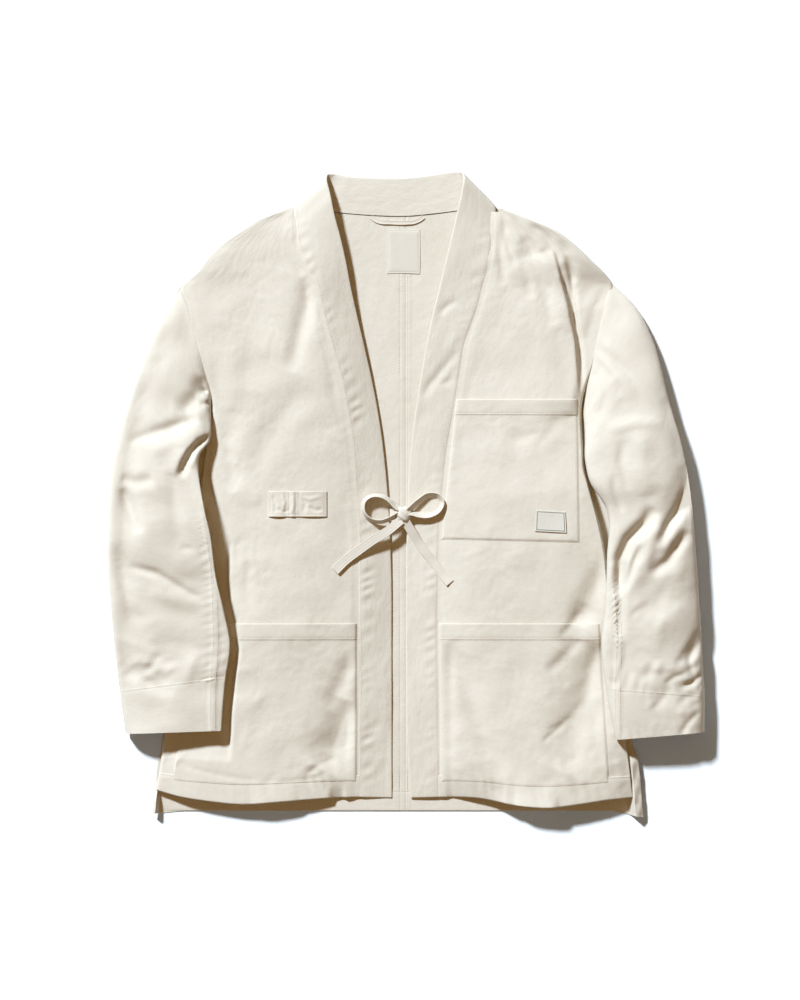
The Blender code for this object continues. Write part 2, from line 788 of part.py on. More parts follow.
def pocket_lift(share, share_up):
    """How far a pocket stands off its front: a seam gap, and a little more at its mouth."""
    mouth = max(0.0, share_up - POCKET_MOUTH_SHARE) / (1.0 - POCKET_MOUTH_SHARE)
    return PATCH_GAP + POCKET_GAPE * mouth * math.sin(math.pi * share)


def patch_lift(share, share_up):
    """How far the patch stands off the front, on top of the chest pocket."""
    return PATCH_GAP + POCKET_LAYER + SEAM_GAP


def pen_lift(share, share_up):
    """How far the pen loops stand off the front, with a bulge between lines of stitching."""
    bulge = 0.0
    for start, end in zip(PEN_DIVISIONS, PEN_DIVISIONS[1:]):
        if start <= share <= end:
            bulge = PEN_BULGE * math.sin(math.pi * (share - start) / (end - start))
    return PATCH_GAP + bulge


def build():
    """Make every piece of the jacket."""
    clear_scene()
    cloth = cloth_material("canvas", CREAM)
    tape = cloth_material("tape", CREAM)
    label = cloth_material("label", LIGHT_CREAM)
    right = (FRONT_RIGHT, FOLDS_RIGHT, HEM_RIGHT)
    left = (FRONT_LEFT, FOLDS_LEFT, HEM_LEFT)

    make_back("back_right", BACK_RIGHT, -1, 0.0, cloth)
    make_back("back_left", BACK_LEFT, 1, VENT_TIP_DROP, cloth)
    make_front("front_right", right, cloth)
    make_front("front_left", left, cloth)
    make_sleeve("sleeve_right", SLEEVE_RIGHT, SLEEVE_FOLDS_RIGHT, right[:2], cloth)
    make_sleeve("sleeve_left", SLEEVE_LEFT, SLEEVE_FOLDS_LEFT, left[:2], cloth)
    make_collar("collar_band", right[:2], left[:2], cloth)

    make_patch("pocket_right", POCKET_RIGHT, right, pocket_lift, WALL, cloth)
    make_patch("pocket_left", POCKET_LEFT, left, pocket_lift, WALL, cloth)
    make_patch("chest_pocket", CHEST_POCKET, left, pocket_lift, WALL, cloth)
    make_patch("chest_patch", CHEST_PATCH, left, patch_lift, LABEL_WALL, label)
    make_patch("pen_loops", PEN_LOOPS, right, pen_lift, WALL, cloth)
    make_label("neck_label", NECK_LABEL, label)

    make_tape("hanger_loop", HANGER, HANGER_WIDTH, WALL, 8, tape)
    make_tape("bow_loop_right", LOOP_RIGHT, TAPE_WIDTH, TAPE_WALL, 18, tape)
    make_tape("bow_loop_left", LOOP_LEFT, TAPE_WIDTH, TAPE_WALL, 18, tape)
    make_tape("bow_tail_right", TAIL_RIGHT, TAPE_WIDTH, TAPE_WALL, 8, tape)
    make_tape("bow_tail_left", TAIL_LEFT, TAPE_WIDTH, TAPE_WALL, 8, tape)
    make_tape("tie_lead_right", LEAD_RIGHT, TAPE_WIDTH, TAPE_WALL, 2, tape)
    make_tape("tie_lead_left", LEAD_LEFT, TAPE_WIDTH, TAPE_WALL, 2, tape)
    make_knot("bow_knot", tape)


build()
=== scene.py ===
"""Dress the noragi jacket: canvas panels, collar band, pockets, stitching, bow, floor and light.

Left and right are the wearer's. X runs to the wearer's left, Y from the hem to the collar, and Z
up from the surface. Tables and sizes are in millimetres, and meshes are made in metres.
"""
import json
import logging
import math
from dataclasses import dataclass, replace
from enum import Enum
from typing import Callable, Sequence

import bmesh
import bpy
import numpy as np
from mathutils import Matrix, Vector

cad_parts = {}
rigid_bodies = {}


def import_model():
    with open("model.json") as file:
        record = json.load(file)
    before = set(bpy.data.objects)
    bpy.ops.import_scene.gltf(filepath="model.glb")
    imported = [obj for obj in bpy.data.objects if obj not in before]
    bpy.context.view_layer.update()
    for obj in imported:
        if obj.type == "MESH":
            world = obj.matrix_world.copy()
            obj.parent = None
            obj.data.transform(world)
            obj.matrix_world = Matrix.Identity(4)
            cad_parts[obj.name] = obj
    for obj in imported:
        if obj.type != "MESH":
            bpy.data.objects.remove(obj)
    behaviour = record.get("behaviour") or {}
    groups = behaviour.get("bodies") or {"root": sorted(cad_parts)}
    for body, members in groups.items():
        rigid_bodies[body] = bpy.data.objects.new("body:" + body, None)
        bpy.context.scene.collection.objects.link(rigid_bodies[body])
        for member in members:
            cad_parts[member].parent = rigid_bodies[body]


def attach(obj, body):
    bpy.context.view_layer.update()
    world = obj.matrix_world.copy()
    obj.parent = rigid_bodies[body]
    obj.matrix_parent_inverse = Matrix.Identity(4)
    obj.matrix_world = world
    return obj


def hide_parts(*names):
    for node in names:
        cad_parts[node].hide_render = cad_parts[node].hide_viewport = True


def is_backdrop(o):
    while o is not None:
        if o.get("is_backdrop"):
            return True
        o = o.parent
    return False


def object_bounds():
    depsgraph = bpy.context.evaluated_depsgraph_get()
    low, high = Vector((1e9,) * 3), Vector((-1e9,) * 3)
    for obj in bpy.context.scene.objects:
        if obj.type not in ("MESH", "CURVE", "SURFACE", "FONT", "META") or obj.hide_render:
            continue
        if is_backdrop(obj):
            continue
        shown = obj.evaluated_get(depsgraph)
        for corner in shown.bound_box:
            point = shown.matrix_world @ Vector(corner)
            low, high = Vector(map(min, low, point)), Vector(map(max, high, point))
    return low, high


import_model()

LOG = logging.getLogger("jacket")
MM = 0.001
WALL = 1.5
SEAM_GAP = 0.3
FRONT_BASE = WALL + SEAM_GAP
POCKET_LAYER = WALL + SEAM_GAP
BAND_WALL = 2.6
CENTRE_BACK_X = -1.0
HEM_STEP = 2.0
SHARP_ANGLE = math.radians(55)
ROW_BODY = "root"

Array = np.ndarray
Spot = tuple[float, float]
Colour = tuple[float, float, float]
Surface = Callable[[Array, Array, int], Array]


class Profile(Enum):
    """The cross-section of a fold."""

    SOFT = "soft"
    SHARP = "sharp"
    STEP = "step"
    STRIP = "strip"


class Side(Enum):
    """A side of the jacket, as the wearer has it; the value points away from the centre back."""

    RIGHT = -1
    LEFT = 1


def hermite(low: Array, high: Array, slope_low: Array, slope_high: Array, share: Array) -> Array:
    """Follow a cubic between two values.

    Args:
        low: Value at share 0.
        high: Value at share 1.
        slope_low: Slope at share 0, per whole span.
        slope_high: Slope at share 1, per whole span.
        share: How far along the span each point lies.

    Returns:
        The value at each share.
    """
    square, cube = share**2, share**3
    start = (2 * cube - 3 * square + 1) * low + (cube - 2 * square + share) * slope_low
    return start + (3 * square - 2 * cube) * high + (cube - square) * slope_high


class Track:
    """A smooth curve through a table's points."""

    def __init__(self, at: Sequence[float], values: Sequence[float]) -> None:
        """Keep the points and work out the slopes.

        Args:
            at: Rising places along the table.
            values: The value at each place.
        """
        self.at = np.asarray(at, float)
        self.values = np.asarray(values, float)
        self.slopes = np.gradient(self.values, self.at)

    def __call__(self, place: Array) -> Array:
        """Return the curve's value at each place, held at the ends."""
        held = np.clip(place, self.at[0], self.at[-1])
        low = np.clip(np.searchsorted(self.at, held, side="right") - 1, 0, len(self.at) - 2)
        span = self.at[low + 1] - self.at[low]
        share = (held - self.at[low]) / span
        return hermite(
            self.values[low], self.values[low + 1], self.slopes[low] * span, self.slopes[low + 1] * span,
            share,
        )


def ease(share: Array) -> Array:
    """Return a smooth 0 to 1 ramp of a share."""
    held = np.clip(share, 0.0, 1.0)
    return held * held * (3 - 2 * held)


def columns_of(rows: Sequence[object], key: str) -> dict[str, Track]:
    """Make a track of each column of a table.

    Args:
        rows: The table's rows.
        key: Name of the column that the others are read against.

    Returns:
        A track for each other column, by name.
    """
    names = [name for name in rows[0].__dataclass_fields__ if name != key]
    at = [getattr(row, key) for row in rows]
    return {name: Track(at, [getattr(row, name) for row in rows]) for name in names}


@dataclass(frozen=True)
class Fold:
    """A fold along a line of points; a height below zero is a trough."""

    points: tuple[Spot, ...]
    width: float
    height: float
    profile: Profile = Profile.SOFT
    reach: float = 30.0
    fade: float = 4.0

    def nearest(self, x: Array, y: Array) -> tuple[Array, Array, Array]:
        """Measure points against the line.

        Args:
            x: X of each point.
            y: Y of each point.

        Returns:
            Distance from the line, side of it (below zero on the right of its run) and share
            of the way along it.
        """
        off = np.full(np.shape(x), 1e6)
        side = np.zeros_like(off)
        along = np.zeros_like(off)
        lengths = [math.dist(a, b) for a, b in zip(self.points, self.points[1:])]
        done = 0.0
        for (x1, y1), (x2, y2), length in zip(self.points, self.points[1:], lengths):
            run_x, run_y = (x2 - x1) / length, (y2 - y1) / length
            step = (x - x1) * run_x + (y - y1) * run_y
            held = np.clip(step, 0.0, length)
            distance = np.hypot(x - x1 - held * run_x, y - y1 - held * run_y)
            closer = distance < off
            off = np.where(closer, distance, off)
            side = np.where(closer, (y - y1) * run_x - (x - x1) * run_y, side)
            along = np.where(closer, (done + held) / sum(lengths), along)
            done += length
        return off, side, along

    def lift(self, x: Array, y: Array) -> Array:
        """Return how far the fold raises each point of the cloth."""
        off, side, along = self.nearest(x, y)
        taper = 1.0 - np.abs(2.0 * along - 1.0) ** self.fade
        share = off / self.width
        if self.profile is Profile.SOFT:
            shape = np.exp(-(share**2))
        elif self.profile is Profile.SHARP:
            shape = np.exp(-1.4 * share)
        elif self.profile is Profile.STRIP:
            shape = 0.5 - 0.5 * np.tanh((off - self.width / 2) / 0.7)
            taper = np.minimum(1.0, 12.0 * taper)
        else:
            beyond = (along <= 0.0) | (along >= 1.0)
            over = np.where(beyond, side, np.copysign(off, side))
            rise = 0.5 + 0.5 * np.tanh(2.0 * over / self.width)
            past = np.where(beyond, np.sqrt(np.maximum(0.0, off**2 - side**2)), 0.0)
            shape = rise * np.exp(-((np.maximum(over, 0.0) / self.reach) ** 2))
            shape = shape * np.exp(-((past / self.width) ** 2))
        return self.height * taper * shape


@dataclass(frozen=True)
class Pucker:
    """Ripples across a seam, strongest on it."""

    points: tuple[Spot, ...]
    wave: float = 19.0
    height: float = 0.5
    reach: float = 8.0
    lean: float = 0.35
    seed: int = 1

    def lift(self, x: Array, y: Array) -> Array:
        """Return how far the ripples raise each point of the cloth."""
        line = Fold(self.points, self.reach, 1.0)
        off, side, along = line.nearest(x, y)
        length = sum(math.dist(a, b) for a, b in zip(self.points, self.points[1:]))
        place = along * length + self.lean * side
        rng = np.random.default_rng(self.seed)
        drift = np.zeros_like(off)
        for size in (61.0, 97.0, 173.0):
            drift = drift + np.sin(place / size * 6.3 + rng.uniform(0, 6.3))
        ripple = np.sin(2 * math.pi * place / self.wave + 1.7 * drift)
        strength = 0.65 + 0.35 * np.sin(place / 41.0 + rng.uniform(0, 6.3))
        ends = ease(12 * along) * ease(12 * (1 - along))
        return self.height * ripple * strength * ends * np.exp(-((off / self.reach) ** 2))


@dataclass(frozen=True)
class Waves:
    """A wandering swell of the cloth, from a few plane waves."""

    size: float
    height: float
    seed: int
    count: int = 7
    stretch: float = 1.0

    def field(self, x: Array, y: Array) -> Array:
        """Return the swell at each point, mostly between -1 and 1."""
        rng = np.random.default_rng(self.seed)
        total = np.zeros(np.shape(x))
        for turn in rng.permutation(self.count):
            angle = math.pi * (turn + rng.uniform(0, 1)) / self.count
            rate = 2 * math.pi / (self.size * rng.uniform(0.7, 1.5))
            run = (x * math.cos(angle) + y * math.sin(angle) / self.stretch) * rate
            total = total + np.sin(run + rng.uniform(0, 2 * math.pi))
        return total / math.sqrt(self.count)

    def lift(self, x: Array, y: Array) -> Array:
        """Return how far the swell raises each point of the cloth."""
        return self.height * self.field(x, y)


@dataclass(frozen=True)
class Crinkle:
    """A net of fine creases that comes and goes over the cloth."""

    size: float
    height: float
    seed: int
    patch: float = 130.0
    sharp: float = 0.16
    cover: float = 0.2

    def lift(self, x: Array, y: Array) -> Array:
        """Return how far the creases raise each point of the cloth."""
        bend = 0.25 * self.size
        shift = Waves(self.size * 0.8, bend, self.seed + 1, 4)
        around = Waves(self.size, 1.0, self.seed, 5)
        net = around.field(x + shift.lift(x, y), y + shift.lift(y + 500.0, x))
        there = Waves(self.patch, 1.0, self.seed + 2, 5).field(x, y)
        mask = ease((there + self.cover) / 0.8)
        crease = np.exp(-np.abs(net) / self.sharp)
        return self.height * mask * (0.5 * net - crease)


@dataclass(frozen=True)
class Crumple:
    """A cluster of small bent creases round a place."""

    centre: Spot
    spread: Spot
    count: int
    length: float
    width: float
    height: float
    angle: float
    swing: float = 40.0
    seed: int = 1

    def creases(self) -> list[Fold]:
        """Return the creases of the cluster."""
        rng = np.random.default_rng(self.seed)
        made = []
        for _ in range(self.count):
            x, y = rng.normal(self.centre, np.asarray(self.spread) / 2)
            turn = math.radians(self.angle + rng.uniform(-self.swing, self.swing))
            half = self.length * rng.uniform(0.5, 1.2) / 2
            run_x, run_y = half * math.cos(turn), half * math.sin(turn)
            bend = rng.uniform(-0.25, 0.25)
            middle = (x - bend * run_y, y + bend * run_x)
            points = ((x - run_x, y - run_y), middle, (x + run_x, y + run_y))
            sign = 1.0 if rng.uniform() < 0.4 else -1.0
            height = sign * self.height * rng.uniform(0.5, 1.2)
            made.append(Fold(points, self.width * rng.uniform(0.7, 1.3), height, fade=2.0))
        return made

    def lift(self, x: Array, y: Array) -> Array:
        """Return how far the cluster raises each point of the cloth."""
        total = np.zeros(np.shape(x))
        for crease in self.creases():
            middle_x, middle_y = crease.points[1]
            near = np.hypot(x - middle_x, y - middle_y) < self.length + 3 * self.width
            if np.any(near):
                total[near] += crease.lift(x[near], y[near])
        return total


Lifter = Fold | Pucker | Waves | Crinkle | Crumple


def lifted(lifters: Sequence[Lifter], x: Array, y: Array) -> Array:
    """Add up what every fold and ripple does at each point."""
    total = np.zeros(np.shape(x))
    for lifter in lifters:
        total = total + lifter.lift(x, y)
    return total


def spaced(length: float, cell: float, lines: Sequence[float] = (), ends: bool = True) -> Array:
    """Space a grid's lines evenly, with extra ones at the edges and round each seam.

    Args:
        length: Length of the side, in mm.
        cell: Spacing of the even lines, in mm.
        lines: Distances along the side, in mm, that need fine detail.
        ends: Whether the two edges get extra lines too.

    Returns:
        Rising shares of the length, from 0 to 1.
    """
    count = max(2, math.ceil(length / cell))
    even = np.linspace(0.0, length, count + 1)
    extra = [line + step for line in lines for step in (-0.9, -0.3, 0.3, 0.9)]
    if ends:
        extra += [0.35, 0.9, 1.7, length - 0.35, length - 0.9, length - 1.7]
    extra = sorted(place for place in extra if 0.0 < place < length)
    kept = [0.0, *extra, length]
    for place in even[1:-1]:
        if min(abs(place - other) for other in kept) > 0.4 * cell:
            kept.append(place)
    places = np.array(sorted(set(kept))) / length
    return places[np.concatenate(([True], np.diff(places) > 1e-5))]


def laid_mesh(places: Array, faces_from: bmesh.types.BMesh, name: str) -> bpy.types.Object:
    """Turn a bmesh into a linked object with smooth shading.

    Args:
        places: Position of each vertex in mm, or None where the mesh has its places.
        faces_from: The mesh, which is freed.
        name: The piece's name.

    Returns:
        The new object, at the origin.
    """
    if places is not None:
        for vert, place in zip(faces_from.verts, places * MM):
            vert.co = place
    data = bpy.data.meshes.new(name)
    faces_from.to_mesh(data)
    faces_from.free()
    data.shade_smooth()
    data.set_sharp_from_angle(angle=SHARP_ANGLE)
    made = bpy.data.objects.new(name, data)
    bpy.context.scene.collection.objects.link(made)
    return made


def cloth_shell(
    name: str,
    across: Array,
    along: Array,
    surface: Surface,
    cut: Spot,
    closed: bool = False,
) -> bpy.types.Object:
    """Build a closed wall of cloth from a grid.

    Args:
        name: The piece's name.
        across: Shares of the grid's lines across the cloth.
        along: Shares of the grid's lines along it.
        surface: Gives the places, in mm, of the under (0) and upper (1) face at each share
            across and along.
        cut: Width and length of the flat cloth in mm, for its weave.
        closed: Whether the last line across joins the first, as round a tube.

    Returns:
        The new object, with a UV map in metres of cloth.
    """
    mesh = bmesh.new()
    size = (len(across) - 1, len(along) - 1)
    bmesh.ops.create_grid(mesh, x_segments=size[0], y_segments=size[1], size=0.5)
    corner = np.array([vert.co[:2] for vert in mesh.verts]) + 0.5
    column = np.rint(corner[:, 0] * size[0]).astype(int)
    row = np.rint(corner[:, 1] * size[1]).astype(int)
    u, v = across[column], along[row]
    spot = mesh.verts.layers.int.new("spot")
    weave = mesh.loops.layers.uv.new("cloth")
    under, upper = surface(u, v, 0) * MM, surface(u, v, 1) * MM
    flat = np.stack([u * cut[0], v * cut[1]], axis=1) * MM
    for index, vert in enumerate(mesh.verts):
        vert[spot] = index
        vert.co = under[index]
    for face in mesh.faces:
        for loop in face.loops:
            loop[weave].uv = flat[loop.vert[spot]]
    if closed:
        ends = np.isin(column, (0, size[0]))
        joined = [vert for vert, end in zip(mesh.verts, ends) if end]
        bmesh.ops.remove_doubles(mesh, verts=joined, dist=1e-7)
    made = bmesh.ops.extrude_face_region(mesh, geom=mesh.faces[:])
    for part in made["geom"]:
        if isinstance(part, bmesh.types.BMVert):
            part.co = upper[part[spot]]
    bmesh.ops.recalc_face_normals(mesh, faces=mesh.faces[:])
    return laid_mesh(None, mesh, name)


def rounded(distance: Array, radius: float) -> Array:
    """Return how much of its thickness a wall has at a distance from its rounded edge."""
    share = np.clip(distance / radius, 0.0, 1.0)
    return np.sqrt(np.maximum(0.0, 1.0 - (1.0 - share) ** 2))


def stitched_hem(distance: Array, depth: float, turned: float = 0.7) -> Array:
    """Raise a turned hem, with its line of stitching pulled in.

    Args:
        distance: Distance of each point from the hem's edge.
        depth: Distance of the stitching from the edge.
        turned: Thickness that the turned cloth adds.

    Returns:
        How far each point is raised.
    """
    step = 0.5 - 0.5 * np.tanh((distance - depth - HEM_STEP) / 0.25)
    groove = np.exp(-(((distance - depth) / 0.7) ** 2))
    return turned * step - 0.25 * groove


@dataclass(frozen=True)
class FrontRow:
    """A row across a front: its edges, how far they and the middle stand up, and its roll.

    The roll is 1 where the side edge turns down to the back and 0 where it is sewn or free.
    """

    y: float
    side: float
    seam: float
    side_lift: float
    seam_lift: float
    belly: float
    roll: float


@dataclass(frozen=True)
class HemPoint:
    """How far a hem hangs below its level at a share of its length."""

    share: float
    drop: float


@dataclass(frozen=True)
class BackRow:
    """A row of a back half: its side edge."""

    y: float
    side: float


@dataclass(frozen=True)
class NeckPoint:
    """A point of the back's neck seam."""

    x: float
    y: float


@dataclass(frozen=True)
class Chord:
    """A ring of a sleeve: its outer and inner folds, their heights and the crown's height."""

    outer_x: float
    outer_y: float
    inner_x: float
    inner_y: float
    outer_z: float
    inner_z: float
    crown: float
    roundness: float


@dataclass(frozen=True)
class BandEdge:
    """The band's free edge beside a level of the seam."""

    y: float
    edge_x: float
    edge_y: float
    edge_z: float


@dataclass(frozen=True)
class Across:
    """A line across the collar band, from its seam to its free edge."""

    seam_x: float
    seam_y: float
    seam_z: float
    edge_x: float
    edge_y: float
    edge_z: float


@dataclass(frozen=True)
class Along:
    """A point along the middle of a tape, and the lean of its width from the level."""

    x: float
    y: float
    z: float
    lean: float


FRONT_ROWS = {
    Side.RIGHT: (
        FrontRow(-370, -305, -59.5, 6, 1, 13, 0), FrontRow(-320, -298.5, -59.5, 6, 4, 10, 0.3),
        FrontRow(-250, -289, -59, 5, 6, 8, 1), FrontRow(-180, -279, -59, 5, 7, 9, 1),
        FrontRow(-105, -268, -59.5, 4, 8, 8, 1), FrontRow(-32, -258, -60.5, 3, 9, 7.5, 1),
        FrontRow(53, -246, -66.5, 5, 11, 7, 1), FrontRow(114, -237.3, -75, 9, 14, 5, 0.7),
        FrontRow(150, -246, -83, 13, 15.5, 3, 0), FrontRow(185, -255, -93, 14.5, 16.5, 2, 0),
        FrontRow(221, -264, -103, 14, 16.5, 1, 0), FrontRow(257, -272.4, -112, 11.5, 16.5, 1, 0.6),
        FrontRow(270, -258, -118, 14, 16.5, 0.5, 1), FrontRow(285, -247, -128, 15, 16, 0, 1),
        FrontRow(304, -227.5, -133.5, 15, 15, 0, 1), FrontRow(324, -198, -135.5, 14.5, 14, 0, 1),
        FrontRow(334, -182, -136, 13, 12, 0, 1), FrontRow(343, -159, -136.3, 11, 10, 0, 1),
        FrontRow(348, -146, -136.5, 8, 8, 0.5, 1),
    ),
    Side.LEFT: (
        FrontRow(-370, 275.5, 41, 7, 2, 15, 0), FrontRow(-320, 269.5, 40.5, 11, 4.5, 10, 0),
        FrontRow(-280, 264.5, 40, 10, 5, 9, 0.6), FrontRow(-250, 260.5, 39.5, 10, 5.5, 8, 1),
        FrontRow(-180, 252, 38.5, 13, 6, 6.5, 1), FrontRow(-105, 246, 39, 17, 6, 5, 1),
        FrontRow(-72, 242.5, 40, 18.5, 6, 4.5, 1), FrontRow(-32, 234.5, 41, 19, 6, 4, 1),
        FrontRow(10, 223, 45, 18, 6.5, 4, 1), FrontRow(30, 217.5, 47, 16, 6.7, 4, 1),
        FrontRow(53, 216, 49.5, 14, 7, 4.5, 1), FrontRow(114, 215.3, 60.5, 12, 9, 3.5, 0.9),
        FrontRow(150, 224, 66, 11.5, 9.5, 2, 0), FrontRow(185, 233, 71.5, 11.5, 10, 1, 0),
        FrontRow(221, 242, 85, 11, 10.5, 0.5, 0), FrontRow(257, 250.4, 94, 7, 11, 0.5, 0.6),
        FrontRow(270, 241, 97.5, 11.5, 11.5, 0.5, 1), FrontRow(285, 225.5, 100.5, 15, 12.5, 0.5, 1),
        FrontRow(304, 205.5, 103.5, 16, 11, 0.5, 1), FrontRow(321, 182.5, 105, 16.5, 10, 0.5, 1),
        FrontRow(334, 153, 106, 15, 9.5, 0.5, 1), FrontRow(343, 130, 106.7, 12, 8.5, 0, 1),
    ),
}

HEM_POINTS = {
    Side.RIGHT: (
        HemPoint(0, -9), HemPoint(0.1, -2), HemPoint(0.25, 4), HemPoint(0.42, 8), HemPoint(0.62, 5),
        HemPoint(0.85, 1), HemPoint(1, 0),
    ),
    Side.LEFT: (
        HemPoint(0, 0), HemPoint(0.14, 3), HemPoint(0.28, 8), HemPoint(0.43, 12), HemPoint(0.6, 9.5),
        HemPoint(0.8, 1), HemPoint(1, 0),
    ),
}
HEM_REACH = 70.0
HEM_DEPTH = 24.0
BELLY_FLATNESS = 2.6
SHOULDER_POINT_Y = 257.0
BAND_WIDTH = 44.0
BAND_STITCH = 3.5
STITCH_INSET = 2.4
STITCH_LIFT = 0.12
SHOULDER_LEAN = 0.64
EDGE_ROLL = 4.0
CURL = 1.6
SEAM_TUCK = 3.0
FRONT_SEED = {Side.RIGHT: 11, Side.LEFT: 37}

FRONT_FOLDS: dict[Side, tuple[Lifter, ...]] = {
    Side.RIGHT: (
        Fold(
            (
                (-215, -325), (-213, -270), (-209, -224), (-204, -191), (-207, -154), (-214, -130),
                (-217, -106), (-215, -63), (-223, -34), (-231, -8), (-239, 16), (-241, 35), (-236, 76),
            ),
            2.6, -8.0, Profile.STEP, 70, 10.0,
        ),
        Fold(((-126, 314), (-131, 290), (-123, 265)), 7, -3.8),
        Fold(((-113, 282), (-119, 236), (-129, 199), (-140, 147)), 11, -4.6),
        Fold(((-115, 129), (-142, 102), (-169, 68), (-196, 9)), 15, -2.2),
        Fold(((-213, 104), (-217, 53), (-209, 2)), 12, -2.6),
        Fold(((-92, 193), (-85, 132), (-65, 64)), 9, -2.2),
        Fold(((-176, 236), (-188, 175), (-191, 126)), 22, -1.6),
        Fold(((-203, 212), (-213, 138), (-218, 77)), 14, 1.6),
        Fold(((-66, -254), (-81, -296), (-103, -335)), 24, -8.0),
        Fold(((-59, -197), (-79, -230), (-98, -262)), 12, -3.4),
        Fold(((-191, -81), (-195, -118), (-188, -148)), 6, -0.9),
        Fold(((-191, -374), (-157, -375), (-132, -374)), 20, 2.5),
        Fold(((-93, -375), (-74, -374)), 15, -4.5), Fold(((-130, -57), (-108, -99), (-75, -130)), 12, -1.2),
        Fold(((-279, -328), (-257, -335), (-218, -342), (-176, -346)), 4, -1.1, Profile.SHARP),
        Fold(((-93, -337), (-108, -345), (-142, -348), (-181, -347)), 4, -1.3, Profile.SHARP),
        Fold(((-86, -321), (-106, -330), (-125, -345)), 3.5, -1.1, Profile.SHARP),
        Fold(((-273, -303), (-287, -315), (-296, -335)), 4, -1.2, Profile.SHARP),
        Fold(((-265, -313), (-279, -325), (-286, -351)), 4, 1.1, Profile.SHARP),
        Crumple((-191, -87), (50, 70), 16, 27.5, 5.6, 0.41, 70, 60, 3),
        Crumple((-199, 41), (22, 50), 7, 17.5, 5, 0.6, 80, 60, 4),
        Crumple((-120, -328), (90, 26), 20, 22.5, 4.5, 0.56, 20, 50, 5),
        Crumple((-282, -331), (26, 60), 13, 20, 4.5, 0.52, 70, 50, 6),
        Crumple((-130, -228), (80, 90), 10, 42.5, 7.5, 0.45, 40, 30, 7),
        Crumple((-246, -252), (60, 120), 7, 42.5, 7.5, 0.38, 60, 50, 8),
        Pucker(((-135, 348), (-132, 297), (-113, 265), (-92, 181), (-74, 114), (-65, 53)), 20, 0.75, 10),
        Pucker(((-65, 53), (-59, -32), (-59, -179), (-59, -368)), 17, 0.55, 9, seed=2),
        Pucker(((-286, -252), (-293, -295), (-301, -361)), 11, 0.6, 7, seed=3),
        Pucker(((-295, -347), (-203, -359), (-75, -347)), 17, 0.5, 13, seed=31),
    ),
    Side.LEFT: (
        Fold(((108, 328), (112, 297), (121, 254)), 6, -2.2),
        Fold(((117, 341), (119, 314), (134, 275)), 5, -1.8),
        Fold(((130, 339), (143, 314), (160, 287)), 5, -2.2),
        Fold(((142, 312), (154, 282), (169, 248), (178, 204)), 9, -3.8),
        Fold(((152, 331), (173, 309), (190, 282)), 6, -3.2),
        Fold(((163, 297), (178, 282), (187, 265)), 7, -2.4),
        Fold(((169, 331), (182, 312), (195, 290)), 4, -2.2),
        Fold(((135, 297), (146, 270), (152, 236)), 7, -2.2),
        Fold(((190, 312), (201, 282), (204, 256)), 6, -3.0),
        Fold(((193, 290), (201, 265), (203, 231), (204, 199)), 4, -3.6),
        Fold(((217, 97), (210, 131), (206, 185), (197, 229), (179, 297)), 2.4, 6.5, Profile.STEP, 55, 8.0),
        Fold(((223, 97), (217, 131), (210, 185), (203, 226), (187, 275)), 3.2, -4.5, fade=6.0),
        Fold(((240, 257), (221, 229), (212, 190)), 7, 1.0),
        Fold(((126, 64), (143, 68), (165, 77)), 6, -1.0), Fold(((156, 52), (169, 70), (187, 91)), 7, -1.0),
        Fold(((178, 214), (190, 163), (197, 117)), 14, -1.8),
        Fold(((51, -179), (70, -223), (96, -303), (121, -340)), 12, -3.6),
        Fold(((29, -381), (77, -381), (121, -381)), 28, -9.0),
        Fold(((53, -179), (52, -276), (53, -368)), 7, -2.2),
        Fold(((217, -174), (195, -195), (171, -220)), 7, -2.4),
        Fold(((239, -174), (224, -215), (217, -267)), 8, -2.4),
        Fold(((226, -179), (218, -240), (206, -286), (188, -335)), 25, -8.5),
        Fold(((221, -135), (206, -164), (190, -191)), 12, -3.4),
        Fold(((195, -279), (178, -291), (165, -303)), 3.5, -2.2, Profile.SHARP),
        Fold(((201, -271), (187, -281), (170, -289)), 3.5, -1.6, Profile.SHARP),
        Fold(((212, -142), (201, -159), (187, -175)), 5, -1.8),
        Fold(((234, -252), (229, -289), (236, -328)), 8, -1.4),
        Fold(((248, -81), (224, -123), (209, -162)), 14, -4.6),
        Fold(((129, -381), (160, -384), (187, -381)), 22, 8.5),
        Crumple((187, -270), (50, 80), 13, 30, 5.6, 0.6, 55, 35, 13),
        Crumple((257, -331), (24, 60), 12, 18.75, 4.2, 0.6, 60, 45, 14),
        Crumple((181, -337), (90, 24), 16, 21.25, 4.5, 0.52, 70, 50, 15),
        Crumple((157, 315), (60, 40), 10, 27.5, 5, 0.52, -55, 25, 16),
        Crumple((77, -331), (50, 40), 10, 27.5, 5.2, 0.52, -40, 35, 17),
        Crumple((138, -130), (90, 60), 5, 37.5, 7.5, 0.38, 40, 50, 19),
        Pucker(((106, 346), (102, 309), (90, 236), (73, 193), (60, 119), (56, 99)), 22, 0.5, 9, seed=4),
        Pucker(((49, 53), (41, -32), (38, -130), (41, -368)), 19, 0.5, 9, seed=5),
        Pucker(((257, -252), (260, -301), (268, -368)), 11, 0.6, 8, seed=6),
        Pucker(((53, -347), (138, -362), (251, -359)), 15, 0.5, 13, seed=32),
    ),
}


